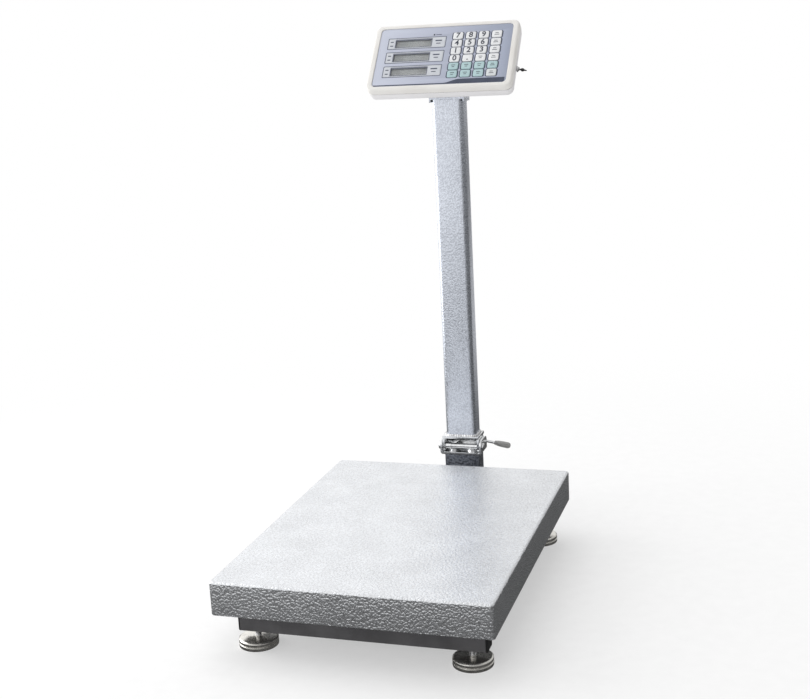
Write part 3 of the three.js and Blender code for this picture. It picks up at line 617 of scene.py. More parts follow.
def arc(x, y, radius, start, end, steps=12):
    """Points on an arc about (x, y), between two angles in degrees."""
    points = []
    for step in range(steps + 1):
        angle = math.radians(start + (end - start) * step / steps)
        points.append((x + radius * math.cos(angle), y + radius * math.sin(angle)))
    return points


def rounded_flat(width, height, corner, x=0.0, y=0.0, steps=6):
    """A rounded rectangle's outline."""
    return [(px, py) for px, py, pz in rounded(width, height, corner, 0, x, y, steps)]


def evaluated(made):
    """The mesh that a curve or an object with modifiers comes to, as a bmesh."""
    seen = made.evaluated_get(bpy.context.evaluated_depsgraph_get())
    mesh = bpy.data.meshes.new_from_object(seen)
    bm = bmesh.new()
    bm.from_mesh(mesh)
    bpy.data.meshes.remove(mesh)
    return bm


def plate(outlines, thickness, edge=0.0):
    """A flat plate up from z = 0. The first outline is its edge and the others are its holes."""
    curve = bpy.data.curves.new("outline", "CURVE")
    curve.dimensions = "2D"
    curve.fill_mode = "BOTH"
    curve.extrude = thickness / 2 - edge
    curve.bevel_depth = edge
    curve.bevel_resolution = 2
    curve.offset = -edge
    for outline in outlines:
        spline = curve.splines.new("POLY")
        spline.points.add(len(outline) - 1)
        for point, (x, y) in zip(spline.points, outline):
            point.co = (x, y, 0, 1)
        spline.use_cyclic_u = True
    bm = evaluated(linked("outline", curve))
    bpy.data.curves.remove(curve)
    bmesh.ops.remove_doubles(bm, verts=bm.verts, dist=1e-6)
    bmesh.ops.translate(bm, vec=(0, 0, thickness / 2), verts=bm.verts)
    return bm


def at(x, y, z):
    """Moves a piece there."""
    return Matrix.Translation((x, y, z))


# Turns a drawing in X and Y into one in Y and Z, pulled along X.
along_x = Matrix(((0, 0, 1, 0), (1, 0, 0, 0), (0, 1, 0, 0), (0, 0, 0, 1)))


def milled_metal(name, light, dark, roughness):
    """Milled metal: fine parallel tool marks across the piece and a little dulling."""
    made, tree, shader, where = surface(name, roughness, 1.0)
    stretched = node(tree, "Mapping", {"Vector": where, "Scale": (30.0, 1900.0, 30.0)}).outputs[0]
    marks = noise(tree, stretched, 1.0, 2.0)
    cloud = noise(tree, where, 35.0, 4.0)
    tint(tree, shader, cloud, (0.3, dark), (0.7, light))
    dull(tree, shader, marks, (0.3, roughness - 0.08), (0.7, roughness + 0.1))
    bumped(tree, shader, marks, 0.00003, 0.5)
    return made


aluminium = milled_metal("milled_aluminium", (0.80, 0.81, 0.83), (0.66, 0.67, 0.69), 0.34)
rubber = moulded_plastic("black_rubber", (0.022, 0.022, 0.023), 0.75, 500.0, 0.00008)

cell_low, cell_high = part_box("load_cell")
cell_size = cell_high - cell_low
cell_middle = (cell_low + cell_high) / 2
cell_hole = 0.009
hole_apart = 0.017
slot_half = 0.0025
slot_angle = math.degrees(math.asin(slot_half / cell_hole))
dumbbell = arc(hole_apart, 0, cell_hole, -180 + slot_angle, 180 - slot_angle, 40)
dumbbell += arc(-hole_apart, 0, cell_hole, slot_angle, 360 - slot_angle, 40)
cell_outlines = [rounded_flat(cell_size.y, cell_size.z, 0.0006), dumbbell]
cell = plate(cell_outlines, cell_size.x, 0.0003)
cell_place = at(cell_low.x, cell_middle.y, cell_middle.z) @ along_x
piece("load_cell_block", cell, "base", aluminium, cell_place, replaces=["load_cell"])

lower_pad_height = 0.006
pad_length = 0.04
upper_pad_height = 0.004
lower_pad = plate([rounded_flat(cell_size.x, pad_length, 0.001)], lower_pad_height, 0.0003)
lower_pad_place = at(0, cell_high.y - pad_length / 2, beam_top - lower_pad_height)
piece("load_cell_lower_pad", lower_pad, "base", frame_paint, lower_pad_place)
upper_pad = plate([rounded_flat(cell_size.x, pad_length, 0.001)], upper_pad_height, 0.0003)
upper_pad_place = at(0, cell_low.y + pad_length / 2, cell_high.z)
piece("load_cell_upper_pad", upper_pad, "base", frame_paint, upper_pad_place)

arm_corner = 0.0025
arm_wall = 0.002
spine_low, spine_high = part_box("top_spine")
spine_low.z = cell_high.z + upper_pad_height
tube_piece("top_spine", 1, arm_corner, arm_wall, box=(spine_low, spine_high))
for arm in ("top_arm_front", "top_arm_rear"):
    tube_piece(arm, 0, arm_corner, arm_wall)

for end in ("front", "rear"):
    for side in ("left", "right"):
        cushion = f"pan_cushion_{end}_{side}"
        low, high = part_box(cushion)
        radius = (high.x - low.x) / 2
        height = high.z - low.z
        profile = [
            (0, 0),
            (radius - 0.001, 0),
            (radius, 0.0015),
            (radius, height * 0.45),
            (radius - 0.0022, height - 0.0006),
            (radius * 0.45, height),
            (radius * 0.35, height - 0.001),
            (0, height - 0.001),
        ]
        spot = Matrix.Translation(underside(low, high))
        piece(f"{cushion}_pad", turned(softened(profile, 0.0008), 48), "base", rubber, spot,
              replaces=[cushion])

# ---- Column stub and post -----------------------------------------------------------------
# The stub is a short upright of box section welded to the arm's end. The post is 60 x 40 mm
# tube with large corner radii. Both are enamelled in the pan's silver hammertone; the stub's
# copy is much darker, which is painted shade.

# The stub's enamel is the hammertone darkened as painted shade, for the stub in shadow under the hinge.
stub_enamel_painted_shade = hammertone_enamel("stub_enamel_painted_shade", (0.42, 0.45, 0.51), (0.17, 0.18, 0.21), 0.0036)
post_light = (0.76, 0.80, 0.88)
post_dark = (0.60, 0.63, 0.70)
post_enamel = hammertone_enamel("post_enamel", post_light, post_dark, 0.0030, depth=0.0003)

stub_corner = 0.004
stub_wall = 0.003
post_corner = 0.009
post_wall = 0.002
tube_piece("column_stub", 2, stub_corner, stub_wall, "base", stub_enamel_painted_shade)
post_low, post_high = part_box("post_tube")
post = box_tube(post_low, post_high, 2, post_corner, post_wall)
piece("post_section", post, "post", post_enamel, replaces=["post_tube"])

# ---- Folding hinge ------------------------------------------------------------------------
# Two chromed steel brackets on a headed pin. The lower one is folded from one plate and is
# held to the stub by two M8 bolts; the upper one is welded round the foot of the post.


def block(low, high):
    """A box between two corners."""
    bm = bmesh.new()
    bmesh.ops.create_cube(bm, size=1.0)
    size = Vector(high) - Vector(low)
    middle = (Vector(high) + Vector(low)) / 2
    bm.transform(Matrix.Translation(middle) @ Matrix.Diagonal((*size, 1)))
    return bm


def rod(radius, start, end, steps=48):
    """A plain round bar between two points, for cutting."""
    start = Vector(start)
    run = Vector(end) - start
    bm = bmesh.new()
    bmesh.ops.create_cone(
        bm, cap_ends=True, segments=steps, radius1=radius, radius2=radius, depth=run.length
    )
    turn = run.to_track_quat("Z", "Y").to_matrix().to_4x4()
    bm.transform(Matrix.Translation(start + run / 2) @ turn)
    return bm


def shaped(base, steps, edge=0.0004, limit=28):
    """Joins, cuts or trims base with other closed meshes, then rounds its edges.

    The rounding is no wider than the shortest edge allows, so it can come to almost nothing.
    """

    def holder(bm):
        mesh = bpy.data.meshes.new("part")
        bm.to_mesh(mesh)
        bm.free()
        return linked("part", mesh)

    body = holder(base)
    tools = [holder(tool) for way, tool in steps]
    for (way, bm), tool in zip(steps, tools):
        modifier = body.modifiers.new(way.lower(), "BOOLEAN")
        modifier.operation = way
        modifier.solver = "EXACT"
        modifier.object = tool
    if edge:
        rounding = body.modifiers.new("edge", "BEVEL")
        rounding.width = edge
        rounding.segments = 2
        rounding.limit_method = "ANGLE"
        rounding.angle_limit = math.radians(limit)
    bm = evaluated(body)
    for made in [body] + tools:
        bpy.data.meshes.remove(made.data)
    return bm


def plated(name, light, roughness, dirt=0.72):
    """Bright plating with faint polishing waves and a film of smudges."""
    made, tree, shader, where = surface(name, roughness, 1.0)
    wave = noise(tree, where, 130.0, 2.0)
    smudge = noise(tree, where, 260.0, 5.0)
    darker = tuple(dirt * part for part in light)
    tint(tree, shader, smudge, (0.32, darker), (0.6, light))
    dull(tree, shader, smudge, (0.3, roughness - 0.05), (0.75, roughness + 0.14))
    bumped(tree, shader, wave, 0.0002, 0.35)
    return made


chrome = plated("chrome_plate", (0.94, 0.95, 0.96), 0.12, 0.84)
zinc = plated("zinc_plate", (0.86, 0.86, 0.87), 0.26)

# Turns a piece turned about Z into one turned about X, and about Y.
round_x = Matrix.Rotation(math.pi / 2, 4, "Y")
round_y = Matrix.Rotation(-math.pi / 2, 4, "X")

lower_low, lower_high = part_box("hinge_lower_bracket")
upper_low, upper_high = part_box("hinge_upper_bracket")
post_fold = next(joint for joint in frame["joints"] if joint["name"] == "post_fold")
pin = Vector(post_fold["pos_m"])
plate_thick = 0.004
cheek_corner = 0.011
pin_radius = 0.005
pin_bore = 0.0051
clamp_x = 0.024
bolt_bore = 0.0041
overrun = 0.002

floor_top = lower_low.z + plate_thick
half = lower_high.x
bend_radius = 0.005
channel = plate(
    [
        arc(half - bend_radius, lower_low.z + bend_radius, bend_radius, 0, -90)
        + arc(-half + bend_radius, lower_low.z + bend_radius, bend_radius, -90, -180)
        + [(-half, lower_high.z + 0.001), (half, lower_high.z + 0.001)]
    ],
    lower_high.y - lower_low.y,
)
channel.transform(at(0, lower_high.y, 0) @ Matrix.Rotation(math.pi / 2, 4, "X"))
inner = half - plate_thick
trim_start = lower_high.y - 0.006
trim_bottom = floor_top + 0.022
channel_space = block(
    (-inner, lower_low.y - overrun, floor_top),
    (inner, lower_high.y - plate_thick, lower_high.z + 0.003),
)
wall_trim = block(
    (-inner, trim_start, trim_bottom),
    (inner, lower_high.y + overrun, lower_high.z + 0.003),
)
cheek_outline = [(lower_low.y, lower_low.z - 0.001), (lower_high.y, lower_low.z - 0.001)]
cheek_outline += arc(lower_high.y - cheek_corner, lower_high.z - cheek_corner, cheek_corner, 0, 90)
cheek_outline += arc(lower_low.y + cheek_corner, lower_high.z - cheek_corner, cheek_corner, 90, 180)
cheek_shape = plate([cheek_outline], 2 * half + 0.004)
cheek_shape.transform(at(-half - overrun, 0, 0) @ along_x)
pin_line = [(-half - 0.01, pin.y, pin.z), (half + 0.01, pin.y, pin.z)]
clamp_line = [(clamp_x, lower_high.y - 0.01, pin.z), (clamp_x, lower_high.y + 0.01, pin.z)]
lower_bracket = shaped(
    channel,
    [
        ("DIFFERENCE", channel_space),
        ("DIFFERENCE", wall_trim),
        ("INTERSECT", cheek_shape),
        ("DIFFERENCE", rod(pin_bore, *pin_line)),
        ("DIFFERENCE", rod(bolt_bore, *clamp_line)),
    ],
)
piece("hinge_lower_channel", lower_bracket, "base", chrome, replaces=["hinge_lower_bracket"])

lobe = 0.010
upper_half = upper_high.x
plate_bottom = post_low.z - 0.005
wall_rear = post_high.y - 0.006
wall_bottom = pin.z - 0.004
wall_top = plate_bottom + 0.001
lobe_outline = [(pin.y - lobe, wall_top)]
lobe_outline += arc(pin.y, pin.z, lobe, 180, 270)
lobe_outline += [
    (pin.y + lobe, wall_bottom),
    (wall_rear, wall_bottom),
    (wall_rear, wall_top),
]
upper_steps = []
for left in (-upper_half, upper_half - plate_thick):
    lobe_plate = plate([lobe_outline], plate_thick)
    lobe_plate.transform(at(left, 0, 0) @ along_x)
    upper_steps.append(("UNION", lobe_plate))
wall = block(
    (-upper_half, wall_rear - plate_thick, wall_bottom),
    (upper_half, wall_rear, wall_top),
)
upper_steps.append(("UNION", wall))
upper_steps.append(("DIFFERENCE", rod(pin_bore, *pin_line)))
upper_plate = block((-upper_half, upper_low.y, plate_bottom), (upper_half, upper_high.y, post_low.z))
piece("hinge_upper_plate", shaped(upper_plate, upper_steps, 0.0005), "post", chrome,
      replaces=["hinge_upper_bracket"])

pin_low, pin_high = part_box("hinge_pin")
head_radius = (pin_high.z - pin_low.z) / 2
head_length = 0.0045
pin_length = pin_high.x - pin_low.x
tail_start = pin_length - 0.0035
pin_profile = [
    (0, 0),
    (head_radius - 0.0015, 0),
    (head_radius, 0.0015),
    (head_radius, head_length),
    (pin_radius, head_length),
    (pin_radius, tail_start),
    (head_radius - 0.001, tail_start),
    (head_radius - 0.001, pin_length - 0.0012),
    (head_radius - 0.003, pin_length),
    (0, pin_length),
]
pin_place = at(pin_low.x, pin.y, pin.z) @ round_x
piece("hinge_pin_headed", turned(softened(pin_profile, 0.0006)), "base", chrome, pin_place,
      replaces=["hinge_pin"])
spacer_start = -upper_half + plate_thick + 0.0007
spacer_length = 0.011
spacer_radius = 0.0065
spacer_chamfer = 0.0007
spacer = [
    (0, 0),
    (spacer_radius - spacer_chamfer, 0),
    (spacer_radius, spacer_chamfer),
    (spacer_radius, spacer_length - spacer_chamfer),
    (spacer_radius - spacer_chamfer, spacer_length),
    (0, spacer_length),
]
spacer_place = at(spacer_start, pin.y, pin.z) @ round_x
piece("hinge_pin_spacer", turned(spacer, 48), "base", chrome, spacer_place)


def hexagon(radius, start):
    """A hexagon's outline, with its first corner at an angle in degrees."""
    return arc(0, 0, radius, start, start + 300, 5)


def hex_bolt(across, height):
    """A hexagon bolt head, chamfered round its top."""
    wide = across * 0.56
    body = plate([hexagon(across / math.sqrt(3), 30)], height)
    profile = [(0, 0), (wide, 0), (wide, height * 0.72), (across * 0.44, height), (0, height)]
    return shaped(body, [("INTERSECT", turned(profile, 48))], 0.00025, 20)


def washer(radius, thickness):
    """A washer. Its hole is hidden, so it is left out."""
    profile = [(0, 0), (radius, 0), (radius, thickness), (0, thickness)]
    return turned(softened(profile, 0.0002), 48)


washer_thick = 0.0008
bolt_height = 0.0045
bolt_across = 0.0125
bolt_apart = 0.0185
for side, bolt_x in (("left", -bolt_apart), ("right", bolt_apart)):
    spot = at(bolt_x, pin.y + 0.001, floor_top)
    piece(f"hinge_washer_{side}", washer(0.0078, washer_thick), "base", zinc, spot)
    bolt_spot = spot @ at(0, 0, washer_thick)
    piece(f"hinge_bolt_{side}", hex_bolt(bolt_across, bolt_height), "base", chrome, bolt_spot)


def weld_bead(path, radius, pitch, seed, closed=True):
    """A bead of weld along a path of points and outward directions: overlapping ripples."""
    noise = random.Random(seed)
    bm = bmesh.new()
    rows = []
    sides = 10
    run = 0.0
    count = len(path)
    for i, (point, outward) in enumerate(path):
        before = path[i - 1][0]
        ahead = path[(i + 1) % count][0]
        tangent = (ahead - before).normalized()
        run += (point - before).length if i else 0
        ripple = abs(math.sin(math.pi * run / pitch))
        size = radius * (0.72 + 0.38 * ripple + noise.uniform(-0.07, 0.07))
        up = tangent.cross(outward).normalized()
        row = []
        for side in range(sides):
            angle = side / sides * 2 * math.pi
            row.append(bm.verts.new(point + size * (outward * math.cos(angle) + up * math.sin(angle))))
        rows.append(row)
    skin(bm, zip(rows, rows[1:] + rows[:1]))
    bmesh.ops.recalc_face_normals(bm, faces=bm.faces)
    return bm


def bead_round(width, depth, corner, height, x, y, spacing=0.0008):
    """A path round a rounded rectangle, with its outward directions."""
    outline = [Vector(p) for p in rounded(width, depth, corner, height, x, y, 10)]
    path = []
    for here, after in zip(outline, outline[1:] + outline[:1]):
        side = after - here
        steps = max(1, round(side.length / spacing))
        outward = Vector((side.y, -side.x, 0)).normalized()
        for step in range(steps):
            path.append((here + side * step / steps, outward))
    return path


post_middle_y = (post_low.y + post_high.y) / 2
post_weld = bead_round(0.0608, 0.0408, 0.0094, post_low.z + 0.0007, 0, post_middle_y)
piece("post_weld", weld_bead(post_weld, 0.0027, 0.0034, 3), "post", zinc, crease=60)

# ---- Clamp lever --------------------------------------------------------------------------
# A chromed screw through the lower bracket's rear wall bears on the upper bracket. A round
# arm is welded into its hub and carries a tapered grey plastic grip.

droop = Matrix.Rotation(math.radians(9.7), 4, "Y")
hub_length = 0.011
hub_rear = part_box("clamp_lever")[1].y
hub_front = hub_rear - hub_length
arm_y = hub_rear - hub_length / 2
screw_tip = wall_rear + 0.0005
screw_place = at(clamp_x, screw_tip, pin.z) @ round_y
screw = thread(0.004, 0.00125, 0, hub_front - screw_tip + 0.001)
piece("clamp_screw", screw, "clamp", zinc, screw_place, replaces=["clamp_lever"])
hub_profile = [(0, 0), (0.0066, 0), (0.0075, 0.0009), (0.0075, hub_length - 0.0014),
               (0.0061, hub_length), (0, hub_length)]
hub_place = at(clamp_x, hub_front, pin.z) @ round_y
piece("clamp_hub", turned(softened(hub_profile, 0.0004), 56), "clamp", chrome, hub_place)
arm_reach = 0.047
arm_profile = [(0, 0), (0.0028, 0), (0.0028, arm_reach - 0.0006), (0.0022, arm_reach), (0, arm_reach)]
arm_place = at(clamp_x, arm_y, pin.z) @ droop @ round_x
piece("clamp_arm", turned(arm_profile, 40), "clamp", chrome, arm_place)


def streaked_plastic(name, light, dark):
    """Grey moulded plastic with flow streaks along it."""
    made, tree, shader, where = surface(name, 0.42)
    along = node(tree, "Mapping", {"Vector": where, "Scale": (60.0, 900.0, 900.0)}).outputs[0]
    streak = noise(tree, along, 1.0, 4.0)
    tint(tree, shader, streak, (0.3, dark), (0.7, light))
    bumped(tree, shader, streak, 0.0001, 0.4)
    return made


grip_plastic = streaked_plastic("grip_plastic", (0.42, 0.415, 0.405), (0.25, 0.25, 0.245))
grip_start = 0.031
grip_length = 0.032
grip_profile = [
    (0, 0.018),
    (0.0031, 0.018),
    (0.0031, 0),
    (0.0039, 0),
    (0.0046, 0.0035),
    (0.0055, 0.009),
    (0.0060, 0.017),
    (0.0060, grip_length - 0.0045),
    (0.0048, grip_length - 0.0012),
    (0.0025, grip_length),
    (0, grip_length),
]
grip_place = at(clamp_x, arm_y, pin.z) @ droop @ at(grip_start, 0, 0) @ round_x
piece("lever_grip_moulding", turned(softened(grip_profile, 0.0016, 5), 48), "clamp", grip_plastic,
      grip_place, replaces=["lever_grip"])

# ---- Head bracket and pivot ---------------------------------------------------------------
# Two upright plates welded to a plate on the post's top. An M8 bolt with washers and a lock
# nut passes through them and the head's two lugs, and holds the head's tilt by friction.

bracket_low, bracket_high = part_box("head_bracket")
bracket_outer = bracket_high.x
bracket_plate = 0.003
bracket_inner = bracket_outer - bracket_plate
pivot = Vector(next(joint for joint in frame["joints"] if joint["name"] == "head_tilt")["pos_m"])
eye_radius = bracket_high.z - pivot.z
base_top = post_high.z + 0.004
ear_outline = [(post_low.y, bracket_low.z), (post_high.y, bracket_low.z), (post_high.y, base_top)]
ear_outline += arc(pivot.y, pivot.z, eye_radius, 0, 180, 28)
ear_outline += [(post_low.y, base_top)]
ear_steps = []
for left in (-bracket_outer, bracket_inner):
    ear = plate([ear_outline], bracket_plate)
    ear.transform(at(left, 0, 0) @ along_x)
    ear_steps.append(("UNION", ear))
ear_steps.append(("DIFFERENCE", rod(bolt_bore, (-0.05, pivot.y, pivot.z), (0.05, pivot.y, pivot.z))))
cap_plate = block(
    (-bracket_outer + 0.001, post_low.y, post_high.z), (bracket_outer - 0.001, post_high.y, base_top)
)
piece("head_bracket_ears", shaped(cap_plate, ear_steps, 0.0004), "post", post_enamel,
      replaces=["head_bracket"])

shank_radius = 0.004
shank_length = 0.0732
shank_chamfer = 0.0006
shank_profile = [
    (0, 0),
    (shank_radius, 0),
    (shank_radius, shank_length - shank_chamfer),
    (shank_radius - shank_chamfer, shank_length),
    (0, shank_length),
]
shank_place = at(-0.0335, pivot.y, pivot.z) @ round_x
piece("pivot_shank", turned(shank_profile, 40), "post", zinc, shank_place,
      replaces=["head_pivot_bolt"])
pivot_washer = 0.0009
for side, facing in (("left", -1), ("right", 1)):
    turn = round_x if facing > 0 else Matrix.Rotation(-math.pi / 2, 4, "Y")
    spot = at(facing * (bracket_outer + 0.00005), pivot.y, pivot.z) @ turn
    piece(f"pivot_washer_{side}", washer(0.0076, pivot_washer), "post", zinc, spot)
    head_spot = spot @ at(0, 0, pivot_washer)
    piece(f"pivot_hex_{side}", hex_bolt(bolt_across, 0.0043), "post", zinc, head_spot)

# ---- Head case ----------------------------------------------------------------------------
# The head is a shallow box moulded in warm white ABS. The front half has a wide soft-edged
# bezel; the rear half has rounded edges and two lugs for the pivot, and four screws hold them.

face_out = Vector(next(joint for joint in frame["joints"] if joint["name"] == "power_toggle")["axis"])
face_up = Vector((0, face_out.z, -face_out.y))
head_drop = 0.012
head_reach = 0.056
head_origin = pivot + face_up * head_drop + face_out * head_reach
# Places a drawing made on the head's face: X to the right, Y up the face and Z out of it.
on_head = Matrix.Translation(head_origin) @ Matrix(
    ((1, 0, 0, 0), (0, face_up.y, face_out.y, 0), (0, face_up.z, face_out.z, 0), (0, 0, 0, 1))
)


def moulded_case(name, light, dark):
    """Off-white ABS: a fine spark-eroded grain, and slight yellowing in soft patches."""
    made, tree, shader, where = surface(name, 0.36, 0.0, Coat_Weight=0.08, Coat_Roughness=0.3)
    patch = noise(tree, where, 16.0, 3.0)
    grain = noise(tree, where, 1400.0, 2.0)
    tint(tree, shader, patch, (0.35, dark), (0.65, light))
    dull(tree, shader, grain, (0.3, 0.31), (0.7, 0.43))
    bumped(tree, shader, grain, 0.00004, 0.35)
    return made


case_plastic = moulded_case("case_plastic", (0.80, 0.785, 0.76), (0.75, 0.73, 0.70))
rear_plastic = moulded_case("rear_plastic", (0.82, 0.81, 0.82), (0.77, 0.76, 0.77))
head_width = 0.272
head_height = 0.148
head_corner = 0.013
recess_width = 0.2498
recess_height = 0.1308
recess_corner = 0.0074
front_depth = 0.014
ledge_depth = 0.0035
edge_round = 0.0042
lip_round = 0.001

seam_chamfer = 0.0013
opening_width = 0.243
opening_height = 0.124


def case_ring(inset, height):
    """A ring that far inside the head's outline."""
    return inset_ring(head_width, head_height, head_corner, inset, height)


bezel = []
for step in range(9):
    angle = step / 8 * math.pi / 2
    inset = edge_round * (1 - math.cos(angle))
    bezel.append(case_ring(inset, -edge_round * (1 - math.sin(angle))))
inner_width = recess_width + 2 * lip_round
inner_height = recess_height + 2 * lip_round
for step in range(6):
    angle = step / 5 * math.pi / 2
    inset = lip_round * math.sin(angle)
    height = -lip_round * (1 - math.cos(angle))
    bezel.append(inset_ring(inner_width, inner_height, recess_corner + lip_round, inset, height))
bezel.append(rounded(recess_width, recess_height, recess_corner, -ledge_depth))
bezel.append(rounded(opening_width, opening_height, recess_corner, -ledge_depth))
bezel.append(rounded(opening_width, opening_height, recess_corner, -front_depth))
bezel.append(case_ring(seam_chamfer, -front_depth))
bezel.append(case_ring(0, -front_depth + seam_chamfer))
piece("front_moulding", loft(bezel, loop=True), "head", case_plastic, on_head,
      replaces=["head_front_case"])

# A dark rubber strip set into the seam between the two halves is painted shade: it stands for the
# shadow at the bottom of the seam.
seal_outer = 0.0011
seal_inner = 0.0020
seal_back = -0.0149
seal_front = -0.0133
seam_shade_rings = [case_ring(inset, seal_back) for inset in (seal_inner, seal_outer)]
seam_shade_rings += [case_ring(inset, seal_front) for inset in (seal_outer, seal_inner)]
piece("painted_seam_shade_strip", loft(seam_shade_rings, loop=True), "head", rubber, on_head)

head_depth = 0.036
case_wall = 0.0025
rear_round = 0.009
rear_taper = 0.004
back_corner = 0.004
rear_front = -front_depth - 0.0003


def casing_rings(shrink, rim, back):
    """Rings of the rear half from its rim, tapering a little, round the edge to its flat back."""
    width = head_width - 2 * shrink
    height = head_height - 2 * shrink
    corner = head_corner - shrink
    rings = [rounded(width, height, corner, rim)]
    for step in range(11):
        angle = step / 10 * math.pi / 2
        inset = rear_taper * 0.35 + (rear_round + rear_taper * 0.65) * (1 - math.cos(angle))
        z = back + rear_round * (1 - math.sin(angle))
        radius = max(corner - inset * 0.6, back_corner)
        rings.append(rounded(width - 2 * inset, height - 2 * inset, radius, z))
    flat = rear_taper + rear_round + back_corner
    rings.append(rounded(width - 2 * flat, height - 2 * flat, back_corner, back))
    return rings


outside_rings = casing_rings(0, rear_front - seam_chamfer, -head_depth)
inside_rings = casing_rings(case_wall, rear_front, -head_depth + case_wall)
seam_ring = case_ring(seam_chamfer, rear_front)
rear_shell = loft(list(reversed(inside_rings)) + [seam_ring] + outside_rings)
lug_thick = 0.007
lug_outer = 0.0298
lug_half = 0.0192
lug_eye = eye_radius - 0.001
lug_root = -head_depth + 0.0012
lug_outline = [(-head_drop + lug_half, lug_root), (-head_drop - lug_half, lug_root)]
lug_outline += arc(-head_drop, -head_reach, lug_eye, 180, 360, 24)
rear_steps = []
for left in (-lug_outer, lug_outer - lug_thick):
    lug = plate([lug_outline], lug_thick)
    lug.transform(at(left, 0, 0) @ along_x)
    rear_steps.append(("UNION", lug))
bore_line = [(-0.05, -head_drop, -head_reach), (0.05, -head_drop, -head_reach)]
rear_steps.append(("DIFFERENCE", rod(bolt_bore, *bore_line)))
switch_y = -0.0216
switch_z = -0.0224
switch_bore = 0.0039
switch_line = [(0.125, switch_y, switch_z), (0.14, switch_y, switch_z)]
rear_steps.append(("DIFFERENCE", rod(switch_bore, *switch_line)))
inlet_x = -0.088
inlet_y = 0.040
inlet_bore = 0.0063
inlet_line = [(inlet_x, inlet_y, -0.030), (inlet_x, inlet_y, -0.04)]
rear_steps.append(("DIFFERENCE", rod(inlet_bore, *inlet_line)))
# The upper left screw stands 12 mm further in than the others.
screw_x = 0.114
screw_y = 0.052
left_spots = [(-screw_x, -screw_y), (-screw_x + 0.012, screw_y)]
screw_spots = left_spots + [(screw_x, -screw_y), (screw_x, screw_y)]
counterbore = 0.0042
for x, y in screw_spots:
    screw_line = [(x, y, -head_depth + 0.0015), (x, y, -head_depth - overrun)]
    rear_steps.append(("DIFFERENCE", rod(counterbore, *screw_line, 36)))
piece("rear_moulding", shaped(rear_shell, rear_steps, 0.0005, 40), "head", rear_plastic,
      on_head, replaces=["head_rear_case"])


def cross_screw(radius, height):
    """A domed screw head with a cross recess."""
    profile = [
        (0, 0),
        (radius, 0),
        (radius, height * 0.35),
        (radius * 0.8, height * 0.8),
        (radius * 0.35, height),
        (0, height),
    ]
    dome = turned(profile, 36)
    slot = radius * 0.62
    wide = radius * 0.16
    long_slot = block((-slot, -wide, height * 0.45), (slot, wide, height * 2))
    cross_slot = block((-wide, -slot, height * 0.45), (wide, slot, height * 2))
    return shaped(dome, [("DIFFERENCE", long_slot), ("DIFFERENCE", cross_slot)], 0)


for count, (x, y) in enumerate(screw_spots):
    turned_over = Matrix.Rotation(math.pi, 4, "X")
    spot = on_head @ at(x, y, -head_depth + 0.0018) @ turned_over
    piece(f"case_screw_{count + 1}", cross_screw(0.0034, 0.0016), "head", zinc, spot)

# ---- Face plate ---------------------------------------------------------------------------
# A printed polycarbonate overlay on a backing sheet, cut out for the displays and the keys.
# Its silver-blue ground carries dark frames round the displays and a dark band along its foot.


def printed(name, light, dark, metal=0.0, roughness=0.34):
    """Screen-printed ink under a satin film: faint mottling and a fine grain."""
    made, tree, shader, where = surface(name, roughness, metal)
    mottle = noise(tree, where, 90.0, 4.0)
    grain = noise(tree, where, 1800.0, 1.0)
    tint(tree, shader, mottle, (0.3, dark), (0.7, light))
    bumped(tree, shader, grain, 0.00002, 0.3)
    return made


def silver_print_and_painted_reflection():
    """The ground: pale silver-blue print, with a painted reflection that turns it bluer and darker to
    the right.
    """
    made, tree, shader, where = surface("face_print", 0.38, 0.35)
    across = node(tree, "SeparateXYZ", {0: where}).outputs["X"]
    sideways = spread(tree, across, -0.125, 0.125)
    # Painted reflection: this ramp darkens the print and makes it bluer towards the right.
    ground = ramp(
        tree, sideways, (0.0, (0.57, 0.60, 0.70)), (0.5, (0.49, 0.52, 0.63)), (1.0, (0.38, 0.42, 0.53))
    )
    flake = noise(tree, where, 2600.0, 1.0)
    glint = ramp(tree, flake, (0.3, 0.9), (0.7, 1.0))
    tree.links.new(blended(tree, ground, glint, "MULTIPLY"), shader.inputs["Base Color"])
    bumped(tree, shader, flake, 0.00002, 0.3)
    return made


face_print = silver_print_and_painted_reflection()
dark_ink = printed("dark_ink", (0.045, 0.055, 0.10), (0.03, 0.04, 0.075))
band_ink = printed("band_ink", (0.055, 0.068, 0.11), (0.04, 0.05, 0.085))
pale_ink = printed("pale_ink", (0.62, 0.64, 0.68), (0.56, 0.58, 0.62), 0.15)
frame_ink = printed("frame_ink", (0.50, 0.52, 0.56), (0.45, 0.47, 0.52), 0.2)

face_width = 0.249
face_height = 0.130
face_corner = 0.0074
face_top = -0.0012
face_thick = 0.002
window_width = 0.068
window_height = 0.0165
window_x = -0.059
window_rows = [-0.0011 + offset for offset in (0.0318, 0.0, -0.0318)]
key_step_x = 0.0241
key_step_y = 0.0171
key_columns = 4
key_rows = 6
key_spots = {}
for row in range(key_rows):
    for column in range(key_columns):
        x = 0.0603 + (column - 1.5) * key_step_x
        y = -0.0004 + (2.5 - row) * key_step_y
        key_spots[f"key_r{row + 1}c{column + 1}"] = (x, y)

key_hole_width = 0.0191
key_hole_height = 0.0161
openings = [rounded_flat(face_width, face_height, face_corner)]
openings += [rounded_flat(window_width, window_height, 0.0008, window_x, y) for y in window_rows]
openings += [rounded_flat(key_hole_width, key_hole_height, 0.0032, x, y) for x, y in key_spots.values()]
face_place = on_head @ at(0, 0, face_top - face_thick)
piece("face_overlay", plate(openings, face_thick, 0.0001), "head", face_print, face_place,
      replaces=["face_plate"])

ink_thick = 0.00008


def ink(name, outlines, finish, layer=1):
    """A printed shape on the face plate."""
    place = on_head @ at(0, 0, face_top - ink_thick * 0.5 + layer * ink_thick * 0.4)
    piece(name, plate(outlines, ink_thick), "head", finish, place)


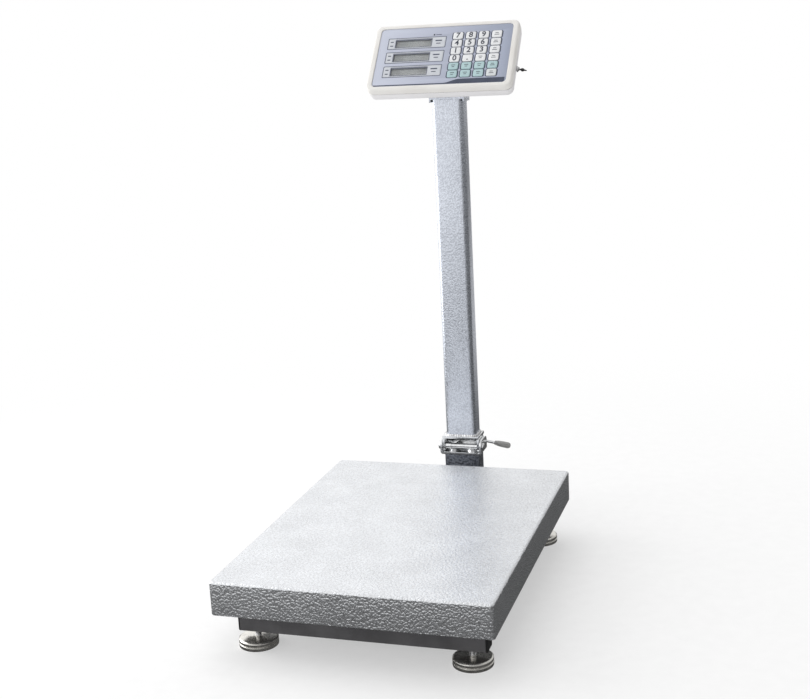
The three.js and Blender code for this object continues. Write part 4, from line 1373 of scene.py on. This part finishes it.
frame_left = -0.1083
frame_right = 0.0027
frame_height = 0.0255
frame_line = 0.0011
label_height = 0.0215
unit_x = -0.0116
mode_x = -0.1006
for count, y in enumerate(window_rows):
    x = (frame_left + frame_right) / 2
    width = frame_right - frame_left
    window = rounded_flat(window_width + 0.0002, window_height + 0.0002, 0.0009, window_x, y)
    outer = rounded_flat(width, frame_height, 0.0022, x, y)
    within = rounded_flat(width - 2 * frame_line, frame_height - 2 * frame_line, 0.0016, x, y)
    ink(f"display_ground_{count + 1}", [within, window], frame_ink)
    ink(f"display_outline_{count + 1}", [outer, within], dark_ink)
    rim = rounded_flat(window_width + 0.0020, window_height + 0.0020, 0.0014, window_x, y)
    ink(f"window_rim_{count + 1}", [rim, window], dark_ink, 2)
    ink(f"unit_label_{count + 1}", [rounded_flat(0.0226, label_height, 0.0012, unit_x, y)], pale_ink, 2)
    for line, (length, height) in enumerate(((0.0125, 0.0026), (0.0085, 0.0018))):
        bar_y = y + 0.0036 - line * 0.0064
        ink(f"unit_bar_{count + 1}_{line + 1}", [rounded_flat(length, height, 0.0004, unit_x, bar_y)],
            dark_ink, 3)
    ink(f"mode_label_{count + 1}", [rounded_flat(0.0112, label_height, 0.0012, mode_x, y)], pale_ink, 2)
    for mark in range(2):
        mark_y = y + 0.0042 - mark * 0.0088
        ink(f"mode_mark_{count + 1}_{mark + 1}", [rounded_flat(0.0060, 0.0020, 0.0004, mode_x, mark_y)],
            dark_ink, 3)

# The dark rings round the keys are partly printed outline and partly painted shade, standing for the
# shadowed gap round each key.
for name, (x, y) in key_spots.items():
    outer = rounded_flat(0.0224, 0.01706, 0.0040, x, y)
    within = rounded_flat(0.0192, 0.0162, 0.0033, x, y)
    ink(f"{name}_outline", [outer, within], dark_ink)

band_low = -0.0645
band_left = -0.1220
band_right = 0.1220
band_corner = 0.003
thin_top = -0.0620
thick_top = -0.0540
band = [(band_left, band_low), (band_right - band_corner, band_low)]
band += arc(band_right - band_corner, band_low + band_corner, band_corner, -90, 0)
band += [(band_right, thick_top)]
curve_from = 0.040
curve_to = 0.009
for step in range(17):
    t = step / 16
    rise = 0.5 + 0.5 * math.cos(math.pi * t)
    band.append((curve_from + (curve_to - curve_from) * t, thin_top + (thick_top - thin_top) * rise))
band += [(band_left, thin_top)]
ink("foot_band", [band], band_ink)
lamp_x = -0.0216
lamp_y = 0.0477
rim_outer, rim_inner, lamp = [arc(lamp_x, lamp_y, r, 0, 345, 23) for r in (0.0025, 0.0020, 0.0019)]
ink("zero_lamp_ring", [rim_outer, rim_inner], pale_ink)
ink("zero_lamp", [lamp], dark_ink)
ink("zero_label", [rounded_flat(0.0105, 0.0013, 0.0004, -0.0130, lamp_y)], dark_ink)

# ---- Displays -----------------------------------------------------------------------------
# A clear polycarbonate window lies behind the face plate's three openings. Behind it are
# three grey-green liquid crystal glasses, each with a row of seven-bar figures that are off.


def clear_plastic():
    """Polished clear plastic, not quite flat and tinted a very little."""
    made, tree, shader, where = surface("window_clear", 0.06, Transmission_Weight=1.0, IOR=1.49)
    wave = noise(tree, where, 40.0, 2.0)
    tint(tree, shader, wave, (0.3, (0.93, 0.95, 0.94)), (0.7, (0.98, 0.99, 0.98)))
    bumped(tree, shader, wave, 0.00001, 0.1)
    return made


window_clear = clear_plastic()
lcd_ground = printed("lcd_ground", (0.50, 0.51, 0.53), (0.46, 0.47, 0.49), 0.0, 0.3)
lcd_figure = printed("lcd_figure", (0.44, 0.45, 0.47), (0.41, 0.42, 0.44), 0.0, 0.3)
module_grey = moulded_plastic("module_grey", (0.10, 0.10, 0.105), 0.5, 700.0, 0.00005)

pane_x = -0.059
pane_y = -0.0011
pane_outline = rounded_flat(0.098, 0.0951, 0.001, pane_x, pane_y)
pane = plate([pane_outline], 0.0012, 0.00015)
pane_place = on_head @ at(0, 0, -0.0047)
piece("display_pane", pane, "head", window_clear, pane_place,
      replaces=["display_window"])
module_back = plate([pane_outline], 0.0030, 0.0002)
piece("display_module", module_back, "head", module_grey,
      on_head @ at(0, 0, -0.011), replaces=["lcd_module"])
figure_width = 0.0062
figure_height = 0.0118
figure_slant = 0.0010
stroke = 0.0011


def seven_bars(x, y):
    """The seven bars of one figure, as outlines that lean a little to the right."""
    half_w = figure_width / 2
    half_h = figure_height / 2
    outlines = []
    for level in (-half_h, 0, half_h):
        lean = level / half_h * figure_slant / 2
        outlines.append([
            (x - half_w + stroke * 0.6 + lean, y + level - stroke / 2),
            (x + half_w - stroke * 0.6 + lean, y + level - stroke / 2),
            (x + half_w - stroke * 0.6 + lean, y + level + stroke / 2),
            (x - half_w + stroke * 0.6 + lean, y + level + stroke / 2),
        ])
    for side in (-half_w, half_w):
        for low, high in ((-half_h, 0), (0, half_h)):
            low_lean = low / half_h * figure_slant / 2
            high_lean = high / half_h * figure_slant / 2
            outlines.append([
                (x + side - stroke / 2 + low_lean, y + low + stroke * 0.8),
                (x + side + stroke / 2 + low_lean, y + low + stroke * 0.8),
                (x + side + stroke / 2 + high_lean, y + high - stroke * 0.8),
                (x + side - stroke / 2 + high_lean, y + high - stroke * 0.8),
            ])
    return outlines


figures = 6
figure_step = 0.0102
glass_width = window_width + 0.004
glass_height = window_height + 0.004
for count, y in enumerate(window_rows):
    glass = plate([rounded_flat(glass_width, glass_height, 0.0006, window_x, y)], 0.0028, 0.0002)
    piece(f"display_glass_{count + 1}", glass, "head", lcd_ground,
          on_head @ at(0, 0, -0.0079))
    bars = []
    for figure in range(figures):
        bars += seven_bars(window_x + (figure - (figures - 1) / 2) * figure_step, y)
    piece(f"display_figures_{count + 1}", plate(bars, 0.00006), "head", lcd_figure,
          on_head @ at(0, 0, -0.00512))

# ---- Keys ---------------------------------------------------------------------------------
# Each key is one moulding: a stem, a flange that stops behind the face plate, and a cap with
# a softly crowned top. The figures on the caps are pad printed.

key_white = moulded_case("key_white", (0.80, 0.81, 0.82), (0.74, 0.75, 0.765))
key_teal = moulded_case("key_teal", (0.43, 0.59, 0.61), (0.39, 0.54, 0.56))
key_grey = moulded_case("key_grey", (0.66, 0.69, 0.70), (0.61, 0.64, 0.65))
key_ink = printed("key_ink", (0.035, 0.04, 0.065), (0.025, 0.03, 0.05))
key_width = 0.0183
key_height = 0.0152
key_corner = 0.003
key_top = 0.0004
key_crown = 0.0003

legends = {
    "key_r1c1": "7", "key_r1c2": "8", "key_r1c3": "9",
    "key_r2c1": "4", "key_r2c2": "5", "key_r2c3": "6",
    "key_r3c1": "1", "key_r3c2": "2", "key_r3c3": "3",
    "key_r4c1": "0", "key_r4c2": ".",
}


stem_width = 0.004
stem_foot = -0.0104
flange_width = 0.0196
flange_height = 0.0166
flange_back = -0.0062
flange_front = -0.0052
rim = 0.0009


def key_cap(x, y):
    """A key at (x, y) on the head's face, from its stem to its crowned top."""
    rings = [rounded(stem_width, stem_width, 0.0005, z, x, y) for z in (stem_foot, flange_back)]
    rings += [
        rounded(flange_width, flange_height, 0.0032, z, x, y) for z in (flange_back, flange_front)
    ]
    rings.append(rounded(key_width, key_height, key_corner, flange_front, x, y))
    for step in range(5):
        angle = step / 4 * math.pi / 2
        inset = rim * (1 - math.cos(angle))
        z = key_top - key_crown - rim * (1 - math.sin(angle))
        corner = key_corner - inset * 0.8
        rings.append(rounded(key_width - 2 * inset, key_height - 2 * inset, corner, z, x, y))
    for share in (0.75, 0.5, 0.25):
        width = (key_width - 2 * rim) * share
        height = (key_height - 2 * rim) * share
        z = key_top - key_crown * share**2
        rings.append(rounded(width, height, key_corner * share, z, x, y))
    return loft(rings)


def figure_mesh(text, size):
    """A printed figure, centred, a hair thick. Its flats and its sides are not joined."""
    curve = bpy.data.curves.new("figure", "FONT")
    curve.body = text
    curve.size = size
    curve.align_x = "CENTER"
    curve.align_y = "CENTER"
    curve.offset = size * 0.022
    curve.extrude = 0.00005
    bm = evaluated(linked("figure", curve))
    bpy.data.curves.remove(curve)
    return bm


for name, (x, y) in key_spots.items():
    row = int(name[5])
    column = int(name[7])
    teal = row >= 5 and name != "key_r6c4"
    finish = key_teal if teal else key_grey if name == "key_r6c4" else key_white
    piece(f"{name}_cap", key_cap(x, y), name, finish, on_head, replaces=[name])
    legend_place = on_head @ at(x, y, key_top - 0.00006)
    if name in legends:
        legend = figure_mesh(legends[name], 0.0155)
        piece(f"{name}_figure", legend, name, key_ink, legend_place)
    else:
        lengths = (0.0075, 0.0050) if column < 4 else (0.0060, 0.0085)
        for line, length in enumerate(lengths):
            bar_place = legend_place @ at(0, 0.0018 - line * 0.0036, -0.00003)
            bar = plate([rounded_flat(length, 0.0013, 0.0003)], 0.0001)
            piece(f"{name}_bar_{line + 1}", bar, name, key_ink, bar_place)

# ---- Board, battery and sockets -----------------------------------------------------------
# Behind the face are a green circuit board and a sealed lead-acid battery. A toggle switch
# passes through the case's right side, and the mains adaptor plugs in at the back.


def board_lacquer():
    """Green solder lacquer over copper tracks that run mostly one way."""
    made, tree, shader, where = surface("board_lacquer", 0.32, 0.0, Coat_Weight=0.3)
    stretched = node(tree, "Mapping", {"Vector": where, "Scale": (60.0, 420.0, 420.0)}).outputs[0]
    track = noise(tree, stretched, 1.0, 2.0)
    tint(tree, shader, track, (0.48, (0.02, 0.13, 0.055)), (0.53, (0.045, 0.22, 0.10)))
    bumped(tree, shader, track, 0.00004, 0.4)
    return made


board_green = board_lacquer()
board = plate([rounded_flat(0.236, 0.117, 0.002)], 0.0016, 0.0001)
piece("circuit_board", board, "head", board_green,
      on_head @ at(0, 0, -0.0135), replaces=["main_board"])

battery_width = 0.100
battery_height = 0.060
battery_back = -0.0313
battery_x = 0.052
battery_y = 0.012
# Pairs of inset and height: an edge, the side, the groove under the lid, the lid and its edge.
battery_steps = [
    (0.0006, 0),
    (0, 0.0006),
    (0, 0.0124),
    (0.0007, 0.0126),
    (0.0007, 0.0130),
    (0, 0.0132),
    (0, 0.0164),
    (0.0006, 0.0170),
]
battery_rings = []
for inset, z in battery_steps:
    width = battery_width - 2 * inset
    height = battery_height - 2 * inset
    battery_rings.append(rounded(width, height, 0.0025, battery_back + z, battery_x, battery_y))
piece("battery_case", loft(battery_rings), "head", black_plastic, on_head,
      replaces=["battery"])

switch_place = on_head @ at(0, switch_y, switch_z) @ round_x
bush = thread(0.0036, 0.0008, 0.1315, 0.141, 32)
piece("switch_bush", bush, "head", bright_thread, switch_place, replaces=["power_switch"])
nut = plate([hexagon(0.0054, 0), arc(0, 0, 0.0034, 0, 350, 35)], 0.002, 0.0002)
piece("switch_nut", nut, "head", zinc, switch_place @ at(0, 0, 0.1365))
switch_rings = [
    rounded(0.0100, 0.0100, 0.0008, 0.1175),
    rounded(0.0110, 0.0110, 0.0010, 0.1180),
    rounded(0.0110, 0.0110, 0.0010, 0.1310),
    rounded(0.0100, 0.0100, 0.0008, 0.1315),
]
switch_body = loft(switch_rings)
piece("switch_body", switch_body, "head", black_plastic, switch_place)

lever_profile = [
    (0, 0),
    (0.0012, 0),
    (0.0014, 0.0008),
    (0.00125, 0.0042),
    (0.0026, 0.0060),
    (0.0031, 0.0078),
    (0.0027, 0.0098),
    (0.0013, 0.0115),
    (0.0010, 0.0150),
    (0.0005, 0.0158),
    (0, 0.0158),
]
lever_droop = Matrix.Rotation(math.radians(20), 4, "Y")
lever_place = on_head @ at(0.1385, switch_y, switch_z) @ lever_droop @ round_x
piece("switch_toggle", turned(softened(lever_profile, 0.0006), 32), "switch", black_plastic,
      lever_place, crease=50, replaces=["switch_lever"])

inlet_back = -0.0383
inlet_profile = [
    (0, 0.0085),
    (0.0027, 0.0085),
    (0.0027, 0.0004),
    (0.0032, 0),
    (0.0072, 0),
    (0.0080, 0.0008),
    (0.0080, 0.0020),
    (0.0060, 0.0022),
    (0.0060, 0.0140),
    (0, 0.0140),
]
inlet_place = on_head @ at(inlet_x, inlet_y, inlet_back)
inlet = turned(softened(inlet_profile, 0.0003), 48)
piece("inlet_socket", inlet, "head", black_plastic, inlet_place,
      replaces=["power_inlet"])
inlet_pin = turned([(0, 0.0006), (0.0006, 0.0006), (0.0010, 0.0012), (0.0010, 0.0090), (0, 0.0090)], 24)
piece("inlet_pin", inlet_pin, "head", zinc, inlet_place)
